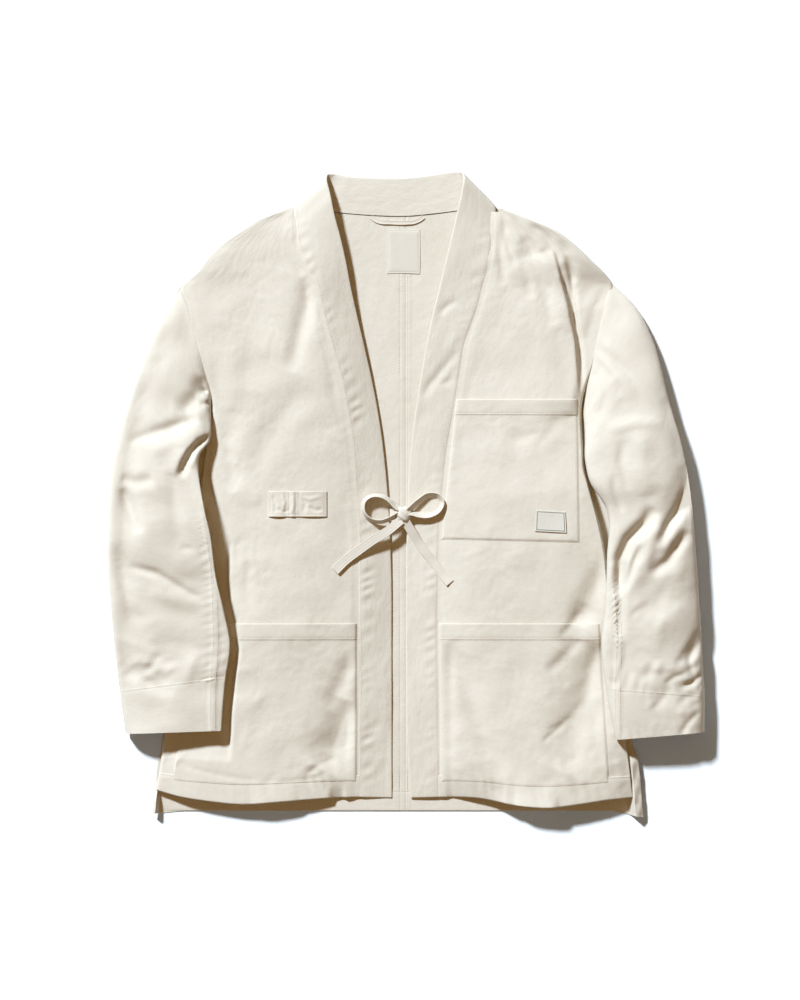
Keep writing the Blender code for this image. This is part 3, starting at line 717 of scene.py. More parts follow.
class FrontPanel:
    """A front, from the hem to the shoulder and from the side to the band seam."""

    def __init__(self, side: Side) -> None:
        """Read the side's tables.

        Args:
            side: Which front it is.
        """
        self.side = side
        self.rows = FRONT_ROWS[side]
        self.tracks = columns_of(self.rows, "y")
        self.hem = columns_of(HEM_POINTS[side], "share")["drop"]
        self.folds = FRONT_FOLDS[side]
        seed = FRONT_SEED[side]
        self.drape = (
            Waves(150, 1.3, seed, stretch=1.6), Waves(60, 0.35, seed + 1),
            Crinkle(52, 0.3, seed + 2, sharp=0.35),
            Crinkle(27, 0.14, seed + 4, patch=80, sharp=0.4, cover=0),
        )

    @property
    def low(self) -> float:
        """Return the level of the hem, before it dips."""
        return self.rows[0].y

    def share(self, x: Array, y: Array) -> Array:
        """Return how far across each point lies: 0 at the side, 1 at the band seam."""
        side, seam = self.tracks["side"](y), self.tracks["seam"](y)
        return (x - side) / (seam - side)

    def at_share(self, share: Array, y: Array) -> Array:
        """Return the x of each share across the front."""
        side, seam = self.tracks["side"](y), self.tracks["seam"](y)
        return side + (seam - side) * share

    def under(self, x: Array, y: Array) -> Array:
        """Find the height of the underside.

        Args:
            x: X of each point.
            y: Level of each point, before the hem's dip.

        Returns:
            The height of each point.
        """
        share = np.clip(self.share(x, y), 0.0, 1.0)
        value = {name: track(y) for name, track in self.tracks.items()}
        belly = value["belly"] * (1.0 - np.abs(2.0 * share - 1.0) ** BELLY_FLATNESS)
        width = np.abs(value["seam"] - value["side"])
        from_side = share * width * np.where(y > SHOULDER_POINT_Y, SHOULDER_LEAN, 1.0)
        hold = ease(np.minimum(from_side, (1.0 - share) * width) / 16.0)
        lift = value["side_lift"] * (1 - share) + value["seam_lift"] * share + belly
        lift = lift + hold * (lifted(self.folds, x, y) + lifted(self.drape, x, y))
        turned = rounded(from_side, EDGE_ROLL)
        lift = np.maximum(lift, 0.0) * (1.0 - value["roll"] * (1.0 - turned))
        curl = CURL * value["roll"] * np.exp(-((from_side / 1.8) ** 2))
        return FRONT_BASE + lift - curl

    def place(self, x: Array, y: Array, rise: Array) -> Array:
        """Put points on the front.

        Args:
            x: X of each point.
            y: Level of each point, before the hem's dip.
            rise: Height of each point over the underside.

        Returns:
            The points, in mm.
        """
        near = np.clip(1.0 - (y - self.low) / HEM_REACH, 0.0, 1.0)
        drop = self.hem(np.clip(self.share(x, y), 0.0, 1.0)) * near**2
        return np.stack([x, y - drop, self.under(x, y) + rise], axis=1)

    def build(self) -> bpy.types.Object:
        """Build the front's cloth, with its turned hem."""
        top = self.rows[-1].y
        width, length = 246.0, top - self.low
        across = spaced(width, 2.5, lines=(4.5,))
        along = spaced(length, 2.5, lines=(HEM_DEPTH, HEM_DEPTH + HEM_STEP))

        def surface(u: Array, v: Array, face: int) -> Array:
            y = self.low + length * v
            tuck = SEAM_TUCK * ease((u - 0.98) / 0.02)
            x = self.at_share(u, y) - self.side.value * tuck
            if face == 0:
                return self.place(x, y, np.zeros_like(x))
            span = np.abs(self.tracks["seam"](y) - self.tracks["side"](y))
            edge = np.minimum(np.minimum(u, 1 - u) * span, y - self.low)
            hem = stitched_hem(y - self.low, HEM_DEPTH)
            seam = -0.4 * np.exp(-(((0.98 - u) * span / 1.6) ** 2))
            return self.place(x, y, (WALL + hem + seam) * (0.45 + 0.55 * rounded(edge, 1.5)))

        name = f"front_panel_{self.side.name.lower()}"
        return cloth_shell(name, across, along, surface, (width, length))


BACK_ROWS = {
    Side.RIGHT: (
        BackRow(-387, -309.5), BackRow(-320, -303), BackRow(-100, -271), BackRow(0, -262),
        BackRow(60, -256), BackRow(98, -248), BackRow(114, -239), BackRow(257, -272.4), BackRow(270, -258),
        BackRow(285, -247), BackRow(304, -227.5), BackRow(324, -198), BackRow(337.6, -172),
        BackRow(347, -148),
    ),
    Side.LEFT: (
        BackRow(-387, 288.5), BackRow(-322, 282), BackRow(-290, 275), BackRow(-100, 252), BackRow(-45, 252),
        BackRow(-10, 249), BackRow(50, 238), BackRow(114, 216), BackRow(257, 250.4), BackRow(270, 241),
        BackRow(285, 225.5), BackRow(304, 205.5), BackRow(324, 176), BackRow(337.6, 142), BackRow(347, 119),
    ),
}
SEAM_OVERLAP = 0.4
BACK_TIP_DROP = {Side.RIGHT: 3.0, Side.LEFT: 7.0}
BACK_TIP_SHARE = 0.14
FLAP_TOP = {Side.RIGHT: -350.0, Side.LEFT: -305.0}
FLAP_HEIGHT = {Side.RIGHT: 12.0, Side.LEFT: 13.0}
FLAP_WIDTH = {Side.RIGHT: 2.5, Side.LEFT: 10.5}
FLAP_SLOPE = {Side.RIGHT: 3.0, Side.LEFT: 3.0}
FLAP_FALL = 0.4
NECK_POINTS = (
    NeckPoint(-148, 349), NeckPoint(-122, 347), NeckPoint(-80, 341.5), NeckPoint(-38, 338.2),
    NeckPoint(-1, 337.4), NeckPoint(34, 340.2), NeckPoint(72, 345.4), NeckPoint(119, 348),
)


class BackPanel:
    """Half of the back, flat on the surface."""

    def __init__(self, side: Side) -> None:
        """Read the side's tables.

        Args:
            side: Which half it is.
        """
        self.side = side
        self.edge = columns_of(BACK_ROWS[side], "y")["side"]
        self.neck = columns_of(NECK_POINTS, "x")["y"]
        self.low = BACK_ROWS[side][0].y
        seed = 70 + side.value
        self.drape = (
            Waves(70, 0.25, seed), Crinkle(46, 0.1, seed + 2, sharp=0.5),
            Fold(((-30, 175), (-25, 236), (-32, 309)), 9, 0.5),
            Fold(((21, 212), (12, 163), (-10, 114)), 8, 0.5),
            Fold(((-54, 282), (-43, 199), (-42, 138)), 6, -0.5),
            Fold(((36, 309), (26, 282), (12, 236)), 7, 0.5),
        )

    def build(self) -> bpy.types.Object:
        """Build the half, with its hem and the seam down the centre."""
        sign = self.side.value
        width, length = 290.0, 735.0
        across = spaced(width, 6.0, lines=(4.0, 8.0, 15.0, 20.0, width - 7.5))
        along = spaced(length, 4.0, lines=(HEM_DEPTH,))

        def surface(u: Array, v: Array, face: int) -> Array:
            y = self.low + length * v
            for _ in range(3):
                x = self.side_at(y, u, sign)
                y = self.low + (self.neck(x) - self.low) * v
            x = self.side_at(y, u, sign)
            tip = BACK_TIP_DROP[self.side] * ease((BACK_TIP_SHARE - u) / BACK_TIP_SHARE)
            y = y - tip * np.clip(1.0 - v / 0.1, 0.0, 1.0)
            flap = self.flap(u * width, y)
            if face == 0:
                return np.stack([x, y, flap], axis=1)
            span = np.abs(x - self.side_at(y, np.ones_like(u), sign))
            edge = np.minimum(u * width, np.minimum(y - self.low, span))
            rise = 0.45 + np.maximum(-0.3, lifted(self.drape, x, y)) * ease(edge / 12)
            rise = rise * (y > -340) + stitched_hem(y - self.low, HEM_DEPTH, 0.5)
            groove = 0.15 * np.exp(-(((span - 7.5) / 0.9) ** 2)) + 0.3 * np.exp(-((span / 1.2) ** 2))
            top = (WALL - 0.5 + np.clip(rise, 0, 0.5) - groove) * (0.5 + 0.5 * rounded(edge, 1.4))
            return np.stack([x, y, top + flap], axis=1)

        name = f"back_panel_{self.side.name.lower()}"
        return cloth_shell(name, across, along, surface, (width, length))

    def flap(self, from_side: Array, y: Array) -> Array:
        """Find how far the corner below the side vent stands off the surface.

        Args:
            from_side: Distance of each point from the side edge.
            y: Y of each point.

        Returns:
            The rise of each point.
        """
        past = np.maximum(0.0, from_side - FLAP_WIDTH[self.side]) / FLAP_SLOPE[self.side]
        ripple = 1.0 + 0.04 * np.sin(y / 2.3) + 0.06 * np.sin(y / 5.1 + from_side / 2.0)
        below = ease((FLAP_TOP[self.side] - y) / 22.0)
        fall = 1.0 - FLAP_FALL * np.clip(1.0 - from_side / FLAP_WIDTH[self.side], 0.0, 1.0)
        return FLAP_HEIGHT[self.side] * below * ripple * fall * np.exp(-(past**2))

    def side_at(self, y: Array, share: Array, sign: int) -> Array:
        """Return x at a share of the way from the side to the centre back."""
        inset = 2.4 * ease((y + 322.0) / 6.0)
        start = self.edge(y) - sign * inset
        end = CENTRE_BACK_X - sign * SEAM_OVERLAP
        return start + (end - start) * share


SLEEVE_CHORDS = {
    Side.RIGHT: (
        Chord(-273, 256.6, -238.2, 114.2, 1.65, 1.65, 16.5, 1.5),
        Chord(-297, 214, -238, 99, 10, 7, 22, 0.7), Chord(-318, 169, -237.5, 84, 15, 11, 27, 0.5),
        Chord(-337, 112, -239, 65, 19, 15, 31, 0.35), Chord(-353, 57, -252, 44, 21, 25, 36, 0.3),
        Chord(-361, -8, -246, -16, 22, 40, 42, 0.3), Chord(-362.2, -50, -238, -52, 22, 40, 42, 0.3),
        Chord(-362.7, -81, -232.5, -96, 21, 36, 39, 0.3), Chord(-359, -142, -222, -142, 20, 32, 37, 0.3),
        Chord(-353, -203, -214.5, -187, 18, 29, 35, 0.35), Chord(-348, -246, -220.5, -230, 15, 28, 34, 0.4),
        Chord(-342, -292, -225, -288, 11, 29, 35, 0.5),
    ),
    Side.LEFT: (
        Chord(251, 256.6, 216.2, 114.2, 1.65, 1.65, 17, 1.5), Chord(279, 228, 215.5, 99, 7, 6, 24, 0.95),
        Chord(298, 192, 216.5, 83, 9.5, 9, 31, 0.9), Chord(319, 114, 217, 64, 17.5, 13, 38, 0.8),
        Chord(335.5, 55, 217.5, 38, 24, 18, 41.5, 0.85), Chord(343, 14, 224, 12, 24.5, 21, 43, 1.05),
        Chord(347.5, -22, 243, -18, 23.5, 21, 43, 1.1), Chord(352.5, -81, 243.5, -81, 20.5, 21, 43, 1.1),
        Chord(357, -144, 241, -142, 17.5, 20, 42, 1.0), Chord(360.5, -209, 237, -189, 14.5, 20, 41, 0.95),
        Chord(362.7, -246, 242.5, -236, 13.5, 19, 40, 0.95),
        Chord(362.5, -290, 254.5, -299, 12.5, 18, 38, 0.95),
    ),
}
CUFF_DEPTH = {Side.RIGHT: 57.0, Side.LEFT: 52.0}
SLEEVE_CLEAR = 1.0
SLEEVE_TUCK = 3.0
CREST = {Side.RIGHT: 1.15, Side.LEFT: 0.82}
INNER_ROUNDNESS = {Side.RIGHT: 0.3, Side.LEFT: 0.4}
FOLD_GAIN = {Side.RIGHT: 1.2, Side.LEFT: 1.5}
POCKET_TOP_Y = -120.0
POCKET_EASE = 25.0
UNDERARM_Y = 104.0
UNDERARM_EASE = 60.0
BODY_EDGE_REACH = 26.0

SLEEVE_FOLDS: dict[Side, tuple[Lifter, ...]] = {
    Side.RIGHT: (
        Fold(((-245, 141), (-253, 119), (-274, 98)), 11, -6.0),
        Fold(
            (
                (-296, 163), (-318, 114), (-332, 65), (-340, 16), (-342, -32), (-342, -179), (-337, -228),
                (-328, -276),
            ),
            14, -3.0,
        ),
        Fold(((-291, 141), (-310, 114), (-330, 90)), 15, 1.4),
        Fold(((-252, 125), (-240, 125), (-228, 121)), 2.6, -3.0),
        Fold(((-252, 109), (-239, 109), (-228, 103)), 2.6, -3.0),
        Fold(((-257, 118), (-243, 117), (-229, 113)), 4, 2.0),
        Fold(((-339, 62), (-310, 73), (-279, 82), (-252, 93)), 6, -3.4),
        Fold(((-313, 51), (-276, 65), (-245, 85)), 11, 3.0),
        Fold(((-280, 19), (-273, 38), (-265, 53), (-253, 65), (-235, 75)), 3, 3.6, Profile.STEP, 14, 6.0),
        Fold(((-274, 19), (-268, 37), (-260, 49), (-249, 62), (-237, 68)), 5, -4.6),
        Fold(((-248, 58), (-256, 49), (-260, 31)), 6, 2.2),
        Fold(((-345, 7), (-335, -20), (-324, -48)), 7, -4.0),
        Fold(((-347, 19), (-328, 13), (-306, 18)), 7, -3.0),
        Fold(((-336, -88), (-303, -97), (-279, -112), (-249, -129)), 5, -3.0),
        Fold(((-332, -208), (-313, -232), (-281, -240)), 9, -3.0),
        Fold(((-274, -68), (-264, -66), (-257, -69)), 2.5, -1.2),
        Fold(((-284, 47), (-284, 4), (-279, -32), (-269, -54)), 7, -0.8),
        Fold(((-313, -118), (-282, -130), (-252, -135)), 9, 1.6),
        Fold(((-356, -59), (-347, -99), (-336, -137), (-313, -193)), 10, -2.6),
        Fold(((-289, 16), (-279, -32), (-274, -81)), 12, -1.4),
        Fold(((-325, -203), (-307, -218), (-286, -230)), 6, -2.0),
        Fold(((-350, -179), (-340, -209), (-325, -228)), 8, -1.6),
        Fold(((-254, -191), (-262, -213), (-269, -232)), 7, 1.2),
        Fold(((-248, 193), (-243, 163), (-237, 119)), 10, 1.0),
        Fold(((-245, -23), (-234, -91), (-231, -178), (-235, -240), (-235, -290)), 8.5, 0.9, Profile.STRIP),
        Crumple((-313, -218), (70, 26), 18, 23.75, 4.6, 0.99, 20, 50, 21),
        Crumple((-295, -130), (80, 60), 11, 35, 6, 0.72, -25, 40, 22),
        Crumple((-301, 77), (70, 60), 7, 42.5, 8.4, 0.9, 25, 25, 23),
        Pucker(((-252, -26), (-241, -91), (-239, -178), (-242, -240)), 9, 0.9, 7, seed=7),
        Pucker(((-225, -142), (-218, -179), (-225, -228)), 11, 0.6, 8, seed=8),
    ),
    Side.LEFT: (
        Fold(((214, 185), (234, 175), (256, 158), (286, 130)), 5.5, -1.9),
        Fold(((212, 167), (234, 159), (251, 137)), 4, -1.3),
        Fold(((224, 173), (241, 160), (260, 138)), 7, 1.2),
        Fold(((209, 146), (224, 143), (236, 145)), 4, -1.0),
        Fold(((243, 129), (240, 109), (232, 92)), 6, -0.8), Fold(((243, 76), (273, 85), (312, 85)), 8, 1.5),
        Fold(((263, 65), (260, 38), (270, 4)), 6, -1.6), Fold(((251, 24), (252, 4), (262, -23)), 5, -1.4),
        Fold(((285, 77), (285, 38), (292, -3)), 12, 1.8),
        Fold(((358, 65), (352, 16), (336, -18), (312, -49)), 20, -6.5),
        Fold(((346, 5), (330, -20), (318, -37), (308, -65)), 6, -5.0),
        Fold(((343, -23), (325, -45), (304, -71)), 7, 2.0),
        Fold(((343, -45), (329, -64), (317, -82), (295, -98)), 6.5, -4.4),
        Fold(((300, -16), (289, -37), (270, -56), (260, -79), (254, -125)), 7.5, -7.5),
        Fold(((285, -62), (276, -84), (264, -118)), 4, -3.2),
        Fold(((312, -27), (298, -54), (287, -96)), 7, 2.0),
        Fold(((285, -99), (309, -130), (319, -145)), 14, -1.2),
        Fold(((329, -130), (309, -164), (290, -193)), 12, 1.2),
        Fold(((375, -145), (361, -174), (336, -209)), 6, -3.4),
        Fold(((358, -164), (343, -185), (326, -213)), 4.5, -1.8),
        Fold(((312, -232), (324, -223), (339, -218)), 3, -1.6),
        Fold(((334, -235), (346, -230), (362, -218)), 3.5, -2.0),
        Fold(((348, -179), (343, -203), (351, -232)), 4, -1.6),
        Fold(((356, -263), (341, -279), (331, -296)), 4, -1.6),
        Fold(((237, -223), (248, -228), (258, -231)), 4, -1.4),
        Fold(((314, 117), (329, 77), (336, 38)), 10, -2.2),
        Fold(((245, 257), (226, 229), (208, 187)), 8, 0.5, Profile.STRIP),
        Fold(((263, -81), (259, -118), (258, -179)), 5, -3.0),
        Fold(((249, -84), (256, -130), (258, -179), (256, -240), (256, -298)), 8.5, 0.9, Profile.STRIP),
        Crumple((319, -223), (70, 40), 18, 23.75, 4.6, 0.99, 50, 40, 31),
        Crumple((297, -118), (60, 80), 11, 37.5, 6, 0.72, 60, 25, 32),
        Crumple((324, -258), (50, 24), 8, 17.5, 4.1, 0.72, 80, 30, 33),
        Crumple((258, 151), (40, 40), 6, 25, 5.4, 0.72, -35, 30, 34),
        Pucker(((251, -96), (253, -130), (256, -191)), 6.5, 1.9, 5, 0.9, seed=9),
        Pucker(((246, -213), (297, -240), (361, -232)), 10, 0.5, 9, seed=10),
        Pucker(((263, -296), (309, -296), (363, -284)), 9, 0.35, 7, seed=12),
    ),
}


class Sleeve:
    """A sleeve: a flattened tube, open at the armhole and at the cuff."""

    def __init__(self, body: FrontPanel) -> None:
        """Read the side's tables and lay its rings out by length.

        Args:
            body: The front that the sleeve is sewn to and partly lies on.
        """
        self.side = body.side
        self.body = body
        chords = SLEEVE_CHORDS[self.side]
        middles = [((c.outer_x + c.inner_x) / 2, (c.outer_y + c.inner_y) / 2) for c in chords]
        runs = [math.dist(a, b) for a, b in zip(middles, middles[1:])]
        at = np.concatenate(([0.0], np.cumsum(runs)))
        self.length = float(at[-1])
        self.inward = tuple((a - b) / runs[0] for a, b in zip(middles[0], middles[1]))
        names = Chord.__dataclass_fields__
        self.ring = {name: Track(at, [getattr(c, name) for c in chords]) for name in names}
        self.folds = SLEEVE_FOLDS[self.side]
        seed = 50 + self.side.value
        self.drape = (
            Waves(110, 1.3, seed, stretch=0.7), Waves(48, 0.5, seed + 9),
            Crinkle(52, 0.35, seed + 3, sharp=0.35),
            Crinkle(27, 0.16, seed + 4, patch=80, sharp=0.4, cover=0),
        )

    def rest(self, x: Array, y: Array, lying: Array) -> Array:
        """Find the height that the sleeve's underside has to clear.

        Args:
            x: X of each point.
            y: Y of each point.
            lying: Whether the ring lies on the body or the surface at all.

        Returns:
            The height of the front with its pocket, or of the surface beside it.
        """
        share = self.body.share(x, y)
        pocket = POCKET_LAYER * np.clip((POCKET_TOP_Y - y) / POCKET_EASE, 0.0, 1.0)
        layer = WALL + pocket + SLEEVE_CLEAR
        over = self.body.under(x, y) + layer
        beside = np.abs(x - self.body.at_share(np.zeros_like(x), y))
        near = np.clip(1.0 - beside / BODY_EDGE_REACH, 0.0, 1.0)
        drop = np.clip((UNDERARM_Y - y) / UNDERARM_EASE, 0.0, 1.0)
        floor = (FRONT_BASE + layer) * near * drop
        return np.where(lying, np.where(share >= 0, over, floor), 0.0)

    def outside(self, share: Array, at: Array, upper: Array) -> Array:
        """Find points of the outer face.

        Args:
            share: Share of the way from the outer fold to the inner one.
            at: Distance of each point's ring from the armhole.
            upper: Whether each point is on the upper half.

        Returns:
            The points, in mm.
        """
        ring = {name: track(at) for name, track in self.ring.items()}
        tucked = np.maximum(0.0, -at)
        x = ring["outer_x"] + (ring["inner_x"] - ring["outer_x"]) * share
        y = ring["outer_y"] + (ring["inner_y"] - ring["outer_y"]) * share
        x, y = x + self.inward[0] * tucked, y + self.inward[1] * tucked
        edge = ring["outer_z"] + (ring["inner_z"] - ring["outer_z"]) * share
        half = WALL + SEAM_GAP / 2
        lean = share ** CREST[self.side]
        hump = 2 * np.sqrt(np.maximum(0.0, lean * (1 - lean)))
        rise = np.maximum(0.0, ring["crown"] - edge - half)
        soft = FOLD_GAIN[self.side] * lifted(self.folds, x, y) + lifted(self.drape, x, y)
        from_cuff = self.length - at
        soft = soft + stitched_hem(from_cuff, CUFF_DEPTH[self.side], 0.3)
        hold = np.minimum(1.0, 1.6 * hump) * ease((at + 4.0) / 22.0)
        inner = np.maximum(INNER_ROUNDNESS[self.side], 1.2 - at / 50.0)
        roundness = np.where(lean > 0.5, inner, ring["roundness"])
        lift = rise * hump**roundness + hold * soft
        top = edge + half + np.maximum(lift, 0.1 * rise)
        lying = ring["outer_z"] > half + 0.2
        rest = self.rest(x, y, lying)
        low = edge - half
        drop = np.maximum(0.0, low - rest) * hump ** (0.7 * ring["roundness"])
        bottom = np.maximum(low - drop, rest)
        bottom = np.minimum(bottom, top - 2 * WALL - SEAM_GAP * hump) + 0.4 * tucked
        top = top - 0.4 * tucked
        fold = (share <= 0.0) | (share >= 1.0)
        z = np.where(fold, (top + bottom) / 2, np.where(upper, top, bottom))
        return np.stack([x, y, z], axis=1)

    def surface(self, u: Array, v: Array, face: int) -> Array:
        """Find points of the sleeve's wall.

        Args:
            u: Share of the way round, from the outer fold over the top.
            v: Share of the way from the armhole to the cuff.
            face: 0 for the inner face and 1 for the outer one.

        Returns:
            The points, in mm.
        """
        at = v * (self.length + SLEEVE_TUCK) - SLEEVE_TUCK
        upper = u <= 0.5 + 1e-9
        share = (1 - np.cos(2 * math.pi * u)) / 2
        if face == 1:
            return self.outside(share, at, upper)
        ring = {name: track(at) for name, track in self.ring.items()}
        width = np.hypot(ring["inner_x"] - ring["outer_x"], ring["inner_y"] - ring["outer_y"])
        inset = WALL / width
        held = np.clip(share, inset, 1 - inset)
        top = self.outside(held, at, np.ones_like(upper))
        bottom = self.outside(held, at, np.zeros_like(upper))
        step = 0.01
        ahead, behind = np.minimum(held + step, 1 - inset), np.maximum(held - step, inset)
        rise = self.outside(ahead, at, upper)[:, 2] - self.outside(behind, at, upper)[:, 2]
        wall = WALL * np.hypot(1.0, rise / ((ahead - behind) * width))
        middle = (top[:, 2] + bottom[:, 2]) / 2
        high = np.maximum(middle + SEAM_GAP / 2, top[:, 2] - wall)
        low = np.minimum(middle - SEAM_GAP / 2, bottom[:, 2] + wall)
        open_up = np.sqrt(np.minimum(1.0, np.minimum(share, 1 - share) / inset))
        z = middle + open_up * (np.where(upper, high, low) - middle)
        return np.stack([top[:, 0], top[:, 1], z], axis=1)

    def build(self) -> bpy.types.Object:
        """Build the sleeve's cloth."""
        across = np.linspace(0.0, 1.0, 111)
        cuff = self.length - CUFF_DEPTH[self.side]
        along = spaced(self.length, 2.8, lines=(cuff - HEM_STEP, cuff))
        name = f"sleeve_cloth_{self.side.name.lower()}"
        return cloth_shell(name, across, along, self.surface, (270.0, self.length), True)


BAND_EDGES = {
    Side.RIGHT: (
        BandEdge(-370, -17.7, -371, 2.2), BandEdge(-310, -17.8, -311, 2.4), BandEdge(-180, -18, -182, 2.6),
        BandEdge(-105, -18.3, -105, 3.2), BandEdge(-32, -21, -30, 4.2), BandEdge(53, -29, 60, 5),
        BandEdge(114, -38.5, 120, 5.5), BandEdge(185, -57.4, 205, 8.5), BandEdge(225, -66.5, 245, 12),
        BandEdge(257, -74, 284, 15.5), BandEdge(285, -82, 319, 18), BandEdge(304, -88, 341, 19.5),
    ),
    Side.LEFT: (
        BandEdge(-370, 5.3, -371, 3.6), BandEdge(-310, 1.4, -311, 5), BandEdge(-180, -0.4, -182, 5.5),
        BandEdge(-105, -0.4, -105, 6), BandEdge(-32, 0.8, -30, 6), BandEdge(53, 5.5, 56, 8),
        BandEdge(114, 14, 120, 11), BandEdge(185, 27, 195, 14), BandEdge(257, 44.5, 270, 16),
        BandEdge(285, 54, 310, 17), BandEdge(304, 61, 340, 17),
    ),
}
NECK_LINES = (
    Across(-135, 328, 15, -92.5, 364, 19), Across(-136.5, 349.5, 9, -97, 385, 12.5),
    Across(-134.5, 352, 4.6, -96, 389, 6), Across(-122, 348.5, 1.35, -90, 390, 2.2),
    Across(-80, 342.7, 1.3, -68, 386.5, 1.3), Across(-38, 339.4, 1.3, -36, 385, 1.3),
    Across(-1, 338.6, 1.3, -1, 385, 1.3), Across(34, 341.7, 1.3, 28, 388, 1.3),
    Across(72, 346.8, 1.35, 56, 392.3, 1.4), Across(93, 350.5, 1.5, 64, 392.6, 2.2),
    Across(105.5, 353, 4.6, 67.5, 391.5, 6), Across(107.5, 350.5, 6, 69, 387, 12.5),
    Across(104.8, 325, 10, 67, 367, 17),
)
BAND_FOLDS: tuple[Lifter, ...] = (
    Fold(((63, 236), (51, 229), (38, 219)), 4, -1.2),
    Fold(((63, 174), (48, 156), (31, 135), (20, 117)), 5, -1.6),
    Fold(((58, 145), (52, 138), (43, 132)), 4, -1.2),
    Fold(((-32, -276), (-45, -295), (-54, -303)), 6, -0.8),
    Crumple((43, 151), (40, 90), 6, 30, 6, 0.54, 40, 25, 41),
    Crumple((-38, -252), (30, 160), 8, 27.5, 6, 0.41, 40, 40, 42),
    Crumple((19, -252), (30, 160), 8, 27.5, 6, 0.41, 140, 40, 43),
    Pucker(((-130, 343), (-123, 282), (-103, 236), (-84, 181), (-64, 114), (-56, 53)), 19, 0.75, 8, seed=21),
    Pucker(((-57, 53), (-49, -32), (-48, -179), (-48, -368)), 18, 0.6, 8, seed=22),
    Pucker(((97, 340), (90, 273), (77, 224), (63, 187), (52, 119)), 20, 0.5, 8, seed=23),
    Pucker(((41, 53), (32, -32), (30, -179), (30, -368)), 18, 0.5, 8, seed=24),
    Waves(90, 0.6, 61),
    Crinkle(40, 0.12, 62, sharp=0.5),
)


class CollarBand:
    """The band of doubled cloth: up one front, round the neck and down the other."""

    def __init__(self, right: FrontPanel, left: FrontPanel) -> None:
        """Join the two fronts' seams through the neck.

        Args:
            right: The wearer's right front.
            left: The wearer's left front.
        """
        lines = self.front_lines(right) + list(NECK_LINES) + self.front_lines(left)[::-1]
        names = Across.__dataclass_fields__
        value = {name: np.array([getattr(line, name) for line in lines]) for name in names}
        middle = [(value[f"seam_{axis}"] + value[f"edge_{axis}"]) / 2 for axis in "xyz"]
        steps = np.sqrt(sum(np.diff(part) ** 2 for part in middle))
        at = np.concatenate(([0.0], np.cumsum(np.maximum(steps, 1.0))))
        self.length = float(at[-1])
        self.line = {name: Track(at, value[name]) for name in names}

    def front_lines(self, front: FrontPanel) -> list[Across]:
        """List the lines across the band beside a front, from its hem up."""
        edges = BAND_EDGES[front.side]
        tracks = columns_of(edges, "y")
        made = []
        for y in np.arange(edges[0].y, edges[-1].y, 24.0):
            level = np.array([y])
            seam_x = float(front.tracks["seam"](level)[0])
            seam_z = float(front.under(np.array([seam_x]), level)[0]) + WALL / 2
            free = [float(tracks[name](level)[0]) for name in ("edge_x", "edge_y", "edge_z")]
            made.append(Across(seam_x - front.side.value * SEAM_GAP, y, seam_z, *free))
        return made

    def middle(self, share: Array, at: Array) -> Array:
        """Find points half way through the band's thickness."""
        held = np.clip(at, 0.0, self.length)
        line = {name: track(held) for name, track in self.line.items()}
        parts = []
        for axis in "xyz":
            seam, edge = line[f"seam_{axis}"], line[f"edge_{axis}"]
            parts.append(seam + (edge - seam) * share)
        return np.stack(parts, axis=1)

    def normal(self, share: Array, at: Array) -> Array:
        """Find the band's outward direction, which points up on both fronts."""
        reach = 3.0
        across = self.middle(np.ones_like(at), at) - self.middle(np.zeros_like(at), at)
        along = self.middle(share, at + reach) - self.middle(share, at - reach)
        outward = np.cross(across, along)
        return outward / np.linalg.norm(outward, axis=1, keepdims=True)

    def surface(self, u: Array, v: Array, face: int) -> Array:
        """Find points of the band's wall.

        Args:
            u: Share of the way from the seam to the free edge.
            v: Share of the way from the right hem to the left.
            face: 0 for the under face and 1 for the outer one.

        Returns:
            The points, in mm.
        """
        at = v * self.length
        place = self.middle(u, at)
        normal = self.normal(u, at)
        width = BAND_WIDTH
        edge = np.minimum(rounded((1 - u) * width, 1.6), rounded(np.minimum(at, self.length - at), 1.6))
        thick = BAND_WALL * (0.35 + 0.65 * edge)
        front = ease((317.0 - place[:, 1]) / 30.0)
        soft = lifted(BAND_FOLDS, place[:, 0], place[:, 1]) * (0.35 + 0.65 * front)
        hold = 0.25 + 0.75 * ease(np.minimum(u, 1 - u) * width / 9.0)
        seam = -0.7 * np.exp(-(((u * width - 0.3) / 1.4) ** 2))
        stitch = -0.12 * np.exp(-(((u * width - BAND_STITCH) / 0.9) ** 2))
        if face == 1:
            moved = place + normal * (thick / 2 + seam + stitch)[:, None]
        else:
            moved = place - normal * (thick / 2)[:, None]
        moved[:, 2] += soft * hold
        moved[:, 2] = np.maximum(moved[:, 2], 0.02 + face * 0.4)
        return moved

    def build(self) -> bpy.types.Object:
        """Build the band's cloth."""
        across = spaced(BAND_WIDTH, 2.2, lines=(BAND_STITCH,))
        along = spaced(self.length, 2.6)
        return cloth_shell("band_cloth", across, along, self.surface, (88.0, self.length))


@dataclass(frozen=True)
class PatchCut:
    """A four-cornered piece on a front; corners run outer and inner below, then above."""

    name: str
    node: str
    corners: tuple[Spot, Spot, Spot, Spot]
    under: float = 0.0
    hem: float = 0.0
    gape: float = 0.0
    turned: float = 0.7
    cell: float = 2.4
    sink: float = 4.0
    creases: tuple[Lifter, ...] = ()


